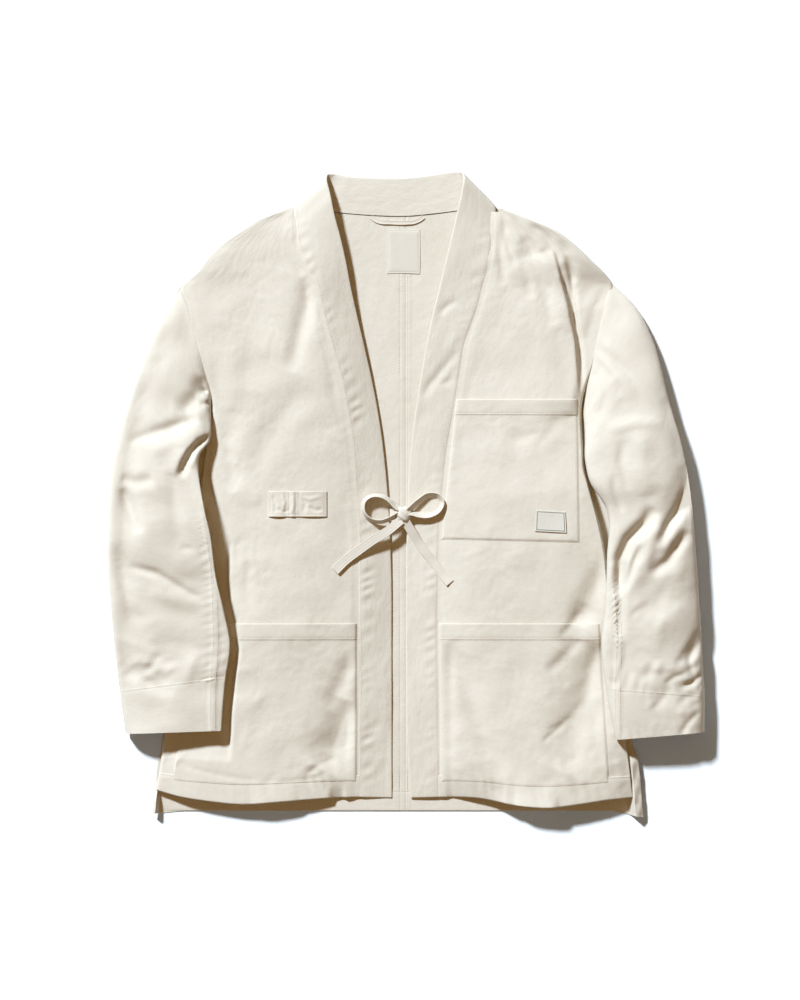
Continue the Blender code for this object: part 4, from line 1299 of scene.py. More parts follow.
POCKETS = {
    Side.RIGHT: (
        PatchCut(
            "pocket_cloth_right", "pocket_right",
            ((-285.5, -352), (-60.2, -352), (-256, -158), (-60.4, -158)), hem=18.0, gape=1.6,
        ),
    ),
    Side.LEFT: (
        PatchCut(
            "pocket_cloth_left", "pocket_left", ((247, -352), (41.4, -352), (235, -158), (39.6, -158)),
            hem=18.0, gape=1.6,
        ),
        PatchCut(
            "chest_pocket_cloth", "chest_pocket", ((210.5, -60), (42.5, -56), (208.5, 115), (60.4, 115)),
            hem=17.0, gape=1.0,
        ),
    ),
}
CHEST_PATCH = PatchCut(
    "chest_patch_label", "chest_patch", ((194.5, -48), (156, -46), (193, -22), (157.5, -20)),
    under=POCKET_LAYER, turned=0.3, cell=1.2,
)
PEN_STRIP = PatchCut(
    "pen_loop_cloth", "pen_loops", ((-168, -28), (-97, -28), (-168, 3), (-97, 3)), turned=0.5, cell=1.3,
    sink=0.0,
    creases=(
        Fold(((-164, -2), (-159, -12), (-160, -25)), 2.0, -1.2),
        Fold(((-153, 1), (-148, -10), (-152, -25)), 1.8, 0.9),
        Fold(((-158, -18), (-149, -23), (-141, -19)), 1.8, -0.9),
        Fold(((-138, -1), (-137, -13), (-140, -26)), 1.8, 1.1),
        Fold(((-127, -1), (-123, -13), (-126, -26)), 3.0, -0.9),
        Fold(((-119, -16), (-110, -21), (-101, -19)), 2.6, -1.1),
        Fold(((-130, -4), (-117, -7), (-103, -3)), 2.4, 0.7),
    ),
)
PEN_DIVISIONS = (0.0, 0.3, 0.36, 0.47, 0.53, 1.0)
PEN_HEIGHTS = (2.0, 0.4, 1.6, 0.4, 2.2)
PATCH_GAP = 0.35
SUNK = 0.35


class Patch:
    """A cut piece that lies on a front and follows it."""

    def __init__(self, cut: PatchCut, body: FrontPanel) -> None:
        """Keep the cut and its front.

        Args:
            cut: The piece's corners and hems.
            body: The front that it lies on.
        """
        self.cut = cut
        self.body = body
        outer, inner, _, above = cut.corners
        self.width = abs(inner[0] - outer[0])
        self.length = above[1] - inner[1]
        seed = len(cut.name)
        self.drape = cut.creases + (Waves(40, 0.18, seed), Crinkle(40, 0.16, seed, sharp=0.35))

    def plan(self, u: Array, v: Array) -> tuple[Array, Array]:
        """Find x and the level of each share across and up the piece."""
        (ax, ay), (bx, by), (cx, cy), (dx, dy) = self.cut.corners
        low_x, low_y = ax + (bx - ax) * u, ay + (by - ay) * u
        high_x, high_y = cx + (dx - cx) * u, cy + (dy - cy) * u
        return low_x + (high_x - low_x) * v, low_y + (high_y - low_y) * v

    def rise(self, u: Array, v: Array) -> Array:
        """Find how far the piece stands off the front at each share."""
        mouth = np.maximum(0.0, v - 0.75) / 0.25
        gape = self.cut.gape * mouth * np.sin(math.pi * u)
        return PATCH_GAP + self.cut.under + gape

    def surface(self, u: Array, v: Array, face: int) -> Array:
        """Find points of the piece's wall; face 0 is the under face and 1 the upper."""
        x, y = self.plan(u, v)
        from_side = np.minimum(u, 1 - u) * self.width
        sewn = np.minimum(from_side, v * self.length)
        held = ease((sewn + 0.6) / self.cut.sink) if self.cut.sink else 1.0
        under = WALL - SUNK + (self.rise(u, v) + SUNK) * held
        if face == 0:
            return self.body.place(x, y, under)
        from_top = (1 - v) * self.length
        edge = np.minimum(sewn, from_top)
        seam = 0.15 * np.exp(-(((sewn - STITCH_INSET) / 0.8) ** 2))
        hem = stitched_hem(from_top, self.cut.hem, self.cut.turned) if self.cut.hem else 0.0
        thick = 1.0 + hem - seam + lifted(self.drape, x, y) * ease(edge / 8)
        thick = thick * (0.4 + 0.6 * rounded(from_top, 1.3)) * (0.35 + 0.65 * held)
        return self.body.place(x, y, under + thick)

    def build(self) -> bpy.types.Object:
        """Build the piece's cloth."""
        stitched = self.length - self.cut.hem
        hem = (stitched - HEM_STEP, stitched) if self.cut.hem else ()
        across = spaced(self.width, self.cut.cell, lines=(STITCH_INSET, self.width - STITCH_INSET))
        along = spaced(self.length, self.cut.cell, lines=(STITCH_INSET, *hem))
        size = (self.width, self.length)
        return cloth_shell(self.cut.name, across, along, self.surface, size)


class LabelPatch(Patch):
    """The small woven label on the chest pocket."""

    def surface(self, u: Array, v: Array, face: int) -> Array:
        """Find points of the label's wall; face 0 is the under face and 1 the upper."""
        x, y = self.plan(u, v)
        rise = self.rise(u, v) + WALL
        if face == 1:
            edge = np.minimum(np.minimum(u, 1 - u) * self.width, np.minimum(v, 1 - v) * self.length)
            seam = 0.25 * np.exp(-(((edge - 1.5) / 0.6) ** 2))
            rise = rise + (0.85 - seam) * (0.4 + 0.6 * rounded(edge, 0.7))
        return self.body.place(x, y, rise)


class PenStrip(Patch):
    """The strip stitched down in channels for pens."""

    def rise(self, u: Array, v: Array) -> Array:
        """Find how far the strip stands off the front, bulging between its stitches."""
        bulge = np.zeros_like(u)
        for start, end, height in zip(PEN_DIVISIONS, PEN_DIVISIONS[1:], PEN_HEIGHTS):
            share = np.clip((u - start) / (end - start), 0.0, 1.0)
            round_top = np.sin(math.pi * share) ** 0.7
            bulge += height * round_top * (0.8 + 0.2 * np.cos(3 * v + 5 * start))
        return PATCH_GAP + bulge


class Tape:
    """A flat cloth tape along a route, leaning as its table says."""

    def __init__(self, name: str, route: tuple[Along, ...], width: float, wall: float) -> None:
        """Lay the route out by length.

        Args:
            name: The piece's name.
            route: Points along the middle of the tape.
            width: Width of the tape, in mm.
            wall: Thickness of the tape, in mm.
        """
        self.name = name
        self.width = width
        self.wall = wall
        spots = [(point.x, point.y, point.z) for point in route]
        runs = [math.dist(a, b) for a, b in zip(spots, spots[1:])]
        at = np.concatenate(([0.0], np.cumsum(runs)))
        self.length = float(at[-1])
        names = Along.__dataclass_fields__
        self.line = {name: Track(at, [getattr(point, name) for point in route]) for name in names}

    def centre(self, at: Array) -> Array:
        """Find points along the middle."""
        held = np.clip(at, 0.0, self.length)
        return np.stack([self.line[axis](held) for axis in "xyz"], axis=1)

    def axes(self, at: Array) -> tuple[Array, Array]:
        """Find the directions across the tape and out of its face."""
        reach = 0.8
        along = self.centre(at + reach) - self.centre(at - reach)
        along /= np.linalg.norm(along, axis=1, keepdims=True)
        level = np.cross(np.array([0.0, 0.0, 1.0]), along)
        level /= np.linalg.norm(level, axis=1, keepdims=True)
        up = np.cross(along, level)
        lean = np.radians(self.line["lean"](np.clip(at, 0.0, self.length)))[:, None]
        across = level * np.cos(lean) + up * np.sin(lean)
        return across, np.cross(across, along)

    def surface(self, u: Array, v: Array, face: int) -> Array:
        """Find points of the tape's wall; face 0 is the under face and 1 the outer."""
        at = v * self.length
        across, outward = self.axes(at)
        edge = np.minimum(u, 1 - u) * self.width
        groove = 0.22 * np.exp(-(((edge - 1.6) / 0.6) ** 2))
        cup = 0.35 * np.cos(math.pi * (u - 0.5)) + 0.15 * np.sin(at / 4.1)
        half = self.wall / 2 * (0.35 + 0.65 * rounded(edge, 0.9)) - groove
        shift = (half if face == 1 else -half) + cup
        wander = 0.25 * np.sin(at / 6.7 + self.width)
        place = self.centre(at) + across * ((u - 0.5) * self.width + wander)[:, None]
        return place + outward * shift[:, None]

    def build(self) -> bpy.types.Object:
        """Build the tape."""
        across = spaced(self.width, 1.2, lines=(1.6, self.width - 1.6))
        along = spaced(self.length, 1.3)
        size = (self.width, self.length)
        return cloth_shell(self.name, across, along, self.surface, size)


TAPE_WIDTH = 11.0
TAPE_WALL = 1.5
LOOP_RIGHT = (
    Along(-9.5, -18.5, 14.6, 56), Along(-13.5, -15.5, 14.8, 60), Along(-20, -9, 15, 64),
    Along(-29, -3.5, 15.2, 68), Along(-41, -2.5, 15.6, 70), Along(-51.5, -10, 16, 70),
    Along(-52.5, -22, 16, 70), Along(-44.5, -31.5, 15.6, 68), Along(-33, -34.5, 15.2, 66),
    Along(-22, -31.5, 15, 64), Along(-14, -28.0, 14.8, 60), Along(-10, -26.0, 14.6, 56),
)
LOOP_LEFT = (
    Along(1.5, -21.5, 14.4, 56), Along(4.5, -19.0, 14.0, 54), Along(15, -10, 13.2, 52),
    Along(28, -2.5, 12.6, 50), Along(38, -3.5, 12.2, 52), Along(43, -11, 12.0, 56),
    Along(38.5, -20.5, 12.0, 56), Along(27, -26.5, 12.2, 54), Along(15, -26.0, 12.8, 54),
    Along(7.0, -24.0, 13.6, 56), Along(2.5, -23.2, 14.4, 56),
)
TAIL_RIGHT = (
    Along(-6.5, -32.5, 15.4, 8), Along(-10.6, -35.8, 16.4, 6), Along(-25, -47, 17, 3),
    Along(-42, -58, 16.6, 0), Along(-58, -69, 16, 0), Along(-72, -80, 15.6, 0), Along(-87, -94, 16.6, 0),
)
TAIL_LEFT = (
    Along(-1.0, -33.5, 14.6, 0), Along(1.6, -38.3, 13.8, 0), Along(12, -56, 11, 0), Along(27, -76, 10.4, 0),
    Along(40, -93, 10.2, 0), Along(53, -109, 11.7, 0),
)
LEAD_RIGHT = (Along(-20.4, -24, 8.6, 0), Along(-16, -24, 9.4, 0), Along(-9, -24, 10.4, 0))
LEAD_LEFT = (Along(6.5, -27, 8.4, 0), Along(2, -27, 8.5, 0), Along(-3, -27, 9.0, 0))
HANGER = (
    Along(-43, 337.4, 2.4, 0), Along(-38, 333.6, 2.6, 0), Along(-32, 331.2, 2.8, 0),
    Along(-20, 330.5, 3.0, 0), Along(0, 330.5, 3.0, 0), Along(10, 331.2, 2.8, 0), Along(16, 333.6, 2.6, 0),
    Along(21, 337.4, 2.4, 0),
)
HANGER_WIDTH = 5.0
TAIL_CLEAR = 0.6
KNOT_PLACE = (-4.0, -25.5, 13.6)
KNOT_RADII = (9.0, 10.6, 4.6)
KNOT_TURN = -38.0
KNOT_WIDTH = 11.5
KNOT_LENGTH = 50.0
KNOT_CUT_WIDTH = 14.0


def rested(route: tuple[Along, ...], front: FrontPanel) -> tuple[Along, ...]:
    """Raise a route's points to where the tape lies on a front.

    Args:
        route: Points along the middle of the tape.
        front: The front under it.

    Returns:
        The route, with no point inside the front.
    """
    made = []
    for point in route:
        place = np.array([point.x]), np.array([point.y])
        over = float(front.share(*place)[0]) < 1.0
        top = float(front.under(*place)[0]) + WALL + TAPE_WALL / 2 + TAIL_CLEAR if over else 0.0
        made.append(replace(point, z=max(point.z, top)))
    return tuple(made)


class Knot:
    """The knot of the bow: a lump of folded tape with a band wrapped over it."""

    def band(self, u: Array, v: Array, face: int) -> Array:
        """Find points of the band's wall; it runs round the lump, over and under.

        Args:
            u: Share of the way across the band.
            v: Share of the way round.
            face: 0 for the inner face and 1 for the outer one.

        Returns:
            The points, in mm.
        """
        turn = 2 * math.pi * v
        wide = (u - 0.5) * KNOT_WIDTH
        squeeze = 1.0 - 0.22 * np.abs(2 * u - 1) ** 3
        pleat = 0.35 * np.sin(9.5 * u + 0.8 * np.sin(turn))
        out = (0.9 if face == 1 else -0.5) * (0.4 + 0.6 * rounded(np.minimum(u, 1 - u) * KNOT_WIDTH, 1.2))
        x = (KNOT_RADII[0] * squeeze + pleat * 0.5 + out) * np.cos(turn)
        z = (KNOT_RADII[2] * squeeze + pleat + out) * np.sin(turn)
        tilt = math.radians(KNOT_TURN)
        return np.stack(
            [
                KNOT_PLACE[0] + x * math.cos(tilt) - wide * math.sin(tilt),
                KNOT_PLACE[1] + x * math.sin(tilt) + wide * math.cos(tilt), KNOT_PLACE[2] + z,
            ],
            axis=1,
        )

    def build(self) -> bpy.types.Object:
        """Build the lump and its band as one piece."""
        across = spaced(KNOT_WIDTH, 1.0)
        around = np.linspace(0.0, 1.0, 49)

        def turned(u: Array, v: Array, face: int) -> Array:
            return self.band(v, u, face)

        wrap = cloth_shell("bow_knot_cloth", around, across, turned, (KNOT_LENGTH, KNOT_WIDTH), True)
        mesh = bmesh.new()
        mesh.from_mesh(wrap.data)
        weave = mesh.loops.layers.uv.verify()
        lump = bmesh.ops.create_uvsphere(mesh, u_segments=32, v_segments=20, radius=1.0)["verts"]
        for vert in lump:
            x, y, z = vert.co
            pleat = 1.0 + 0.06 * math.sin(7 * x + 5 * y)
            vert.co = Vector((x * KNOT_RADII[0] * 0.9, y * 11.0, z * KNOT_RADII[2] * 0.84)) * pleat
        bmesh.ops.rotate(mesh, verts=lump, matrix=Matrix.Rotation(math.radians(KNOT_TURN), 3, "Z"))
        bmesh.ops.translate(mesh, verts=lump, vec=Vector(KNOT_PLACE))
        bmesh.ops.scale(mesh, verts=lump, vec=Vector((MM, MM, MM)))
        for vert in lump:
            for loop in vert.link_loops:
                loop[weave].uv = vert.co.xy
        mesh.to_mesh(wrap.data)
        mesh.free()
        wrap.data.shade_smooth()
        return wrap


class NeckLabel:
    """The label at the back of the neck."""

    corners = ((-24.0, 268.0), (16.5, 322.0))

    def build(self) -> bpy.types.Object:
        """Build the label, lying on the back."""
        (x0, y0), (x1, y1) = self.corners
        size = (x1 - x0, y1 - y0)

        def surface(u: Array, v: Array, face: int) -> Array:
            x = x0 + size[0] * u + 0.4 * np.sin(3 * v)
            y = y0 + size[1] * v + 0.5 * np.sin(4 * u)
            edge = np.minimum(np.minimum(u, 1 - u) * size[0], np.minimum(v, 1 - v) * size[1])
            swell = 0.35 * ease(edge / 6) * (0.6 + 0.4 * np.sin(5 * u + 3 * v))
            seam = 0.2 * np.exp(-(((edge - 1.6) / 0.6) ** 2))
            rise = 1.62 + swell + face * (0.55 * (0.4 + 0.6 * rounded(edge, 0.7)) - seam)
            return np.stack([x, y, rise], axis=1)

        across = spaced(size[0], 1.5, lines=(1.6, size[0] - 1.6))
        along = spaced(size[1], 1.5, lines=(1.6, size[1] - 1.6))
        return cloth_shell("neck_label_cloth", across, along, surface, size)


THREAD_LENGTH = 2.7
THREAD_PITCH = 3.5
THREAD_HALF_WIDTH = 0.3
THREAD_HALF_HEIGHT = 0.22
STITCHES_A_RUN = 48


class Stitching:
    """Rows of machine stitching, joined in one piece."""

    def __init__(self, name: str) -> None:
        """Start with no stitches.

        Args:
            name: The piece's name.
        """
        self.name = name
        self.mesh = bmesh.new()

    def row(self, path: Array, pitch: float = THREAD_PITCH, length: float = THREAD_LENGTH) -> None:
        """Sew a row of stitches.

        Args:
            path: Close points along the row, in mm, on the cloth's face.
            pitch: Distance from one stitch to the next.
            length: Length of a stitch.
        """
        runs = np.linalg.norm(np.diff(path, axis=0), axis=1)
        at = np.concatenate(([0.0], np.cumsum(runs)))
        middles = (np.arange(int(at[-1] / pitch)) + 0.5) * pitch
        for run in np.array_split(middles, math.ceil(len(middles) / STITCHES_A_RUN)):
            self.sew_run(path, at, run, length)

    def sew_run(self, path: Array, at: Array, middles: Array, length: float) -> None:
        """Sew a short run in a mesh of its own and join it to the rest, which is quicker.

        Args:
            path: Close points along the row.
            at: Distance along the row to each of them.
            middles: Distance along the row to the middle of each stitch.
            length: Length of a stitch.
        """
        mesh = bmesh.new()
        for middle in middles:
            ends = [middle - length / 2, middle + length / 2]
            start, end = (np.array([np.interp(e, at, path[:, k]) for k in range(3)]) for e in ends)
            along = Vector(end - start).normalized()
            across = Vector((0, 0, 1)).cross(along).normalized()
            up = along.cross(across)
            turn = Matrix((along, across, up)).transposed().to_4x4()
            size = (length / 2, THREAD_HALF_WIDTH, THREAD_HALF_HEIGHT)
            place = Matrix.Translation(Vector((start + end) / 2) * MM)
            shape = Matrix.Diagonal(Vector(size) * MM).to_4x4()
            matrix = place @ turn @ shape @ Matrix.Rotation(math.pi / 2, 4, "Y")
            bmesh.ops.create_uvsphere(mesh, u_segments=6, v_segments=4, radius=1.0, matrix=matrix)
        data = bpy.data.meshes.new("run")
        mesh.to_mesh(data)
        mesh.free()
        self.mesh.from_mesh(data)
        bpy.data.meshes.remove(data)

    def build(self) -> bpy.types.Object:
        """Finish the piece."""
        return laid_mesh(None, self.mesh, self.name)


def steps(start: float, end: float, pitch: float = 1.5) -> Array:
    """Return close values from start to end."""
    return np.linspace(start, end, max(3, int(abs(end - start) / pitch)))


def sew_front(front: FrontPanel, patches: Sequence[Patch]) -> Stitching:
    """Sew a front's hem and its pockets.

    Args:
        front: The front.
        patches: The pieces that lie on it.

    Returns:
        The stitching.
    """
    sewing = Stitching(f"front_stitching_{front.side.name.lower()}")
    share = steps(0.01, 0.985, 0.006)
    level = np.full_like(share, front.low + HEM_DEPTH)
    sewing.row(front.place(front.at_share(share, level), level, WALL - 0.05 + 0.1 * share))
    for patch in patches:
        inset_u, inset_v = STITCH_INSET / patch.width, STITCH_INSET / patch.length
        u, v = steps(inset_u, 1 - inset_u, 0.006), steps(inset_v, 0.995, 0.006)
        lines = [(u, np.full_like(u, inset_v)), (np.full_like(v, inset_u), v)]
        lines.append((np.full_like(v, 1 - inset_u), v))
        if patch.cut.hem:
            lines.append((u, np.full_like(u, 1 - patch.cut.hem / patch.length)))
        if isinstance(patch, PenStrip):
            lines = [(np.full_like(v, share), v) for share in (0.02, 0.34, 0.5, 0.98)]
        if isinstance(patch, LabelPatch):
            continue
        for across, up in lines:
            path = patch.surface(across, up, 1)
            path[:, 2] += STITCH_LIFT
            sewing.row(path)
    return sewing


def sew_sleeve(sleeve: Sleeve) -> Stitching:
    """Sew a sleeve's cuff and its felled seam."""
    sewing = Stitching(f"sleeve_stitching_{sleeve.side.name.lower()}")
    depth = sleeve.length - CUFF_DEPTH[sleeve.side]
    share = 0.5 - 0.5 * np.cos(np.linspace(0.12, math.pi - 0.12, 90))
    for upper in (True, False):
        on = np.full(share.shape, upper)
        path = sleeve.outside(share, np.full_like(share, depth), on)
        path[:, 2] = np.maximum(path[:, 2] + (0.1 if upper else -0.1), THREAD_HALF_HEIGHT)
        sewing.row(path)
    at = steps(sleeve.length - (240.0 if sleeve.side is Side.RIGHT else 190.0), sleeve.length - 2.0)
    seam = next(f for f in sleeve.folds if isinstance(f, Fold) and f.width == 8.5)
    route = np.array(seam.points)
    order = route[:, 1].argsort()
    for offset in (-2.9, 2.9):
        ring = {name: track(at) for name, track in sleeve.ring.items()}
        y = ring["outer_y"] + (ring["inner_y"] - ring["outer_y"]) * 0.85
        x = np.interp(y, route[order, 1], route[order, 0]) + offset
        share = np.clip((x - ring["outer_x"]) / (ring["inner_x"] - ring["outer_x"]), 0.05, 0.97)
        path = sleeve.outside(share, at, np.full(share.shape, True))
        path[:, 2] += STITCH_LIFT
        sewing.row(path)
    return sewing


def sew_band(band: CollarBand) -> Stitching:
    """Sew the collar band along its seam."""
    sewing = Stitching("band_stitching")
    v = steps(0.002, 0.998, 0.001)
    path = band.surface(np.full_like(v, BAND_STITCH / BAND_WIDTH), v, 1)
    path[:, 2] += STITCH_LIFT
    sewing.row(path)
    return sewing


def sew_back(left: BackPanel) -> Stitching:
    """Sew the seam down the centre of the back, and the hem."""
    sewing = Stitching("back_stitching")
    y = steps(left.low + 2, 333.0)
    for offset in (-8.2, 1.6):
        place = np.full_like(y, CENTRE_BACK_X + offset)
        sewing.row(np.stack([place, y, np.full_like(y, WALL + 0.1)], axis=1))
    x = steps(-305, 280)
    level = np.full_like(x, left.low + HEM_DEPTH)
    sewing.row(np.stack([x, level, np.full_like(x, WALL + 0.1)], axis=1))
    return sewing


class NodeTree:
    """Adds nodes to a node tree and joins them."""

    def __init__(self, tree: bpy.types.NodeTree) -> None:
        """Keep the tree.

        Args:
            tree: The tree of a material or of a node group.
        """
        self.tree = tree

    def add(self, kind: str, **settings: object) -> bpy.types.Node:
        """Add a node and set its properties."""
        node = self.tree.nodes.new(kind)
        for name, value in settings.items():
            setattr(node, name, value)
        return node

    def join(self, output: bpy.types.NodeSocket, target: bpy.types.NodeSocket) -> None:
        """Join an output to an input."""
        self.tree.links.new(output, target)

    def feed(self, node: bpy.types.Node, key: int | str, value: object) -> None:
        """Give an input a socket's output or a plain value."""
        if isinstance(value, bpy.types.NodeSocket):
            self.join(value, node.inputs[key])
        else:
            node.inputs[key].default_value = value

    def math(self, operation: str, *values: object) -> bpy.types.NodeSocket:
        """Add a Math node on the values and return its output."""
        node = self.add("ShaderNodeMath", operation=operation)
        for index, value in enumerate(values):
            self.feed(node, index, value)
        return node.outputs[0]

    def scaled(self, vector: object, scale: tuple[float, float, float]) -> bpy.types.NodeSocket:
        """Scale a vector by a fixed amount along each axis."""
        node = self.add("ShaderNodeMapping")
        self.feed(node, "Vector", vector)
        self.feed(node, "Scale", scale)
        return node.outputs[0]

    def noise(self, vector: object, scale: float, detail: float, rough: float) -> bpy.types.NodeSocket:
        """Add noise, from 0 to 1, on a vector in metres."""
        node = self.add("ShaderNodeTexNoise")
        self.feed(node, "Vector", vector)
        self.feed(node, "Scale", scale)
        self.feed(node, "Detail", detail)
        self.feed(node, "Roughness", rough)
        return node.outputs["Fac"]

    def ramp(self, value: object, low: float, high: float) -> bpy.types.NodeSocket:
        """Map low to 0 and high to 1, smoothly and held at the ends."""
        node = self.add("ShaderNodeMapRange", interpolation_type="SMOOTHSTEP")
        self.feed(node, "Value", value)
        self.feed(node, "From Min", low)
        self.feed(node, "From Max", high)
        return node.outputs["Result"]


def new_group(name: str, inputs: dict[str, str], outputs: Sequence[str]) -> bpy.types.NodeTree:
    """Start a shader node group.

    Args:
        name: The group's name.
        inputs: Socket type of each input, by name.
        outputs: Names of the outputs, which are numbers.

    Returns:
        The group's tree, with its input and output nodes.
    """
    tree = bpy.data.node_groups.new(name, "ShaderNodeTree")
    for label, kind in inputs.items():
        tree.interface.new_socket(name=label, in_out="INPUT", socket_type=kind)
    for label in outputs:
        tree.interface.new_socket(name=label, in_out="OUTPUT", socket_type="NodeSocketFloat")
    tree.nodes.new("NodeGroupInput")
    tree.nodes.new("NodeGroupOutput")
    return tree


def weave_group() -> bpy.types.NodeTree:
    """Make the plain weave: crossing threads with thick and thin places."""
    tree = new_group(
        "Plain weave", {"Cloth": "NodeSocketVector", "Thread": "NodeSocketFloat"}, ("Height", "Slub"),
    )
    nodes = NodeTree(tree)
    given = tree.nodes["Group Input"].outputs
    parts = nodes.add("ShaderNodeSeparateXYZ")
    nodes.join(given["Cloth"], parts.inputs[0])
    waves = []
    for axis in (0, 1):
        count = nodes.math("DIVIDE", parts.outputs[axis], given["Thread"])
        waves.append(nodes.math("SINE", nodes.math("MULTIPLY", count, math.pi)))
    threads = nodes.math("MULTIPLY", waves[0], waves[1])
    weft = nodes.noise(nodes.scaled(given["Cloth"], (0.16, 2.2, 1)), 520.0, 2.0, 0.5)
    warp = nodes.noise(nodes.scaled(given["Cloth"], (2.2, 0.12, 1)), 520.0, 2.0, 0.5)
    slub = nodes.math("ADD", nodes.ramp(weft, 0.3, 0.75), nodes.ramp(warp, 0.3, 0.75))
    ends = tree.nodes["Group Output"].inputs
    height = nodes.math("MULTIPLY_ADD", threads, 0.35, nodes.math("MULTIPLY", slub, 0.5))
    nodes.join(height, ends["Height"])
    nodes.join(nodes.math("MULTIPLY", slub, 0.5), ends["Slub"])
    return tree


def crease_group() -> bpy.types.NodeTree:
    """Make the small dry wrinkles of washed canvas."""
    tree = new_group("Dry wrinkles", {"Cloth": "NodeSocketVector"}, ("Height",))
    nodes = NodeTree(tree)
    given = tree.nodes["Group Input"].outputs
    soft = nodes.noise(given["Cloth"], 55.0, 4.0, 0.55)
    ridge = nodes.math("ABSOLUTE", nodes.math("SUBTRACT", nodes.noise(given["Cloth"], 38.0, 3.0, 0.5), 0.5))
    crease = nodes.ramp(ridge, 0.0, 0.07)
    patch = nodes.ramp(nodes.noise(given["Cloth"], 9.0, 1.0, 0.5), 0.45, 0.62)
    cut = nodes.math("MULTIPLY", nodes.math("SUBTRACT", 1.0, crease), patch)
    height = nodes.math("MULTIPLY_ADD", cut, -0.06, soft)
    nodes.join(height, tree.nodes["Group Output"].inputs["Height"])
    return tree


def tone_group() -> bpy.types.NodeTree:
    """Make the uneven tone of undyed cotton, with its few dark specks."""
    tree = new_group("Undyed tone", {"Cloth": "NodeSocketVector"}, ("Tone", "Speck"))
    nodes = NodeTree(tree)
    given = tree.nodes["Group Input"].outputs
    wide = nodes.noise(given["Cloth"], 7.0, 3.0, 0.55)
    fine = nodes.noise(given["Cloth"], 90.0, 3.0, 0.6)
    tone = nodes.math("MULTIPLY_ADD", nodes.math("SUBTRACT", fine, 0.5), 0.5, wide)
    cells = nodes.add("ShaderNodeTexVoronoi")
    nodes.feed(cells, "Vector", given["Cloth"])
    nodes.feed(cells, "Scale", 62.0)
    few = nodes.math("GREATER_THAN", nodes.noise(given["Cloth"], 31.0, 0.0, 0.5), 0.68)
    speck = nodes.math("MULTIPLY", nodes.ramp(cells.outputs["Distance"], 0.045, 0.02), few)
    ends = tree.nodes["Group Output"].inputs
    nodes.join(tone, ends["Tone"])
    nodes.join(speck, ends["Speck"])
    return tree


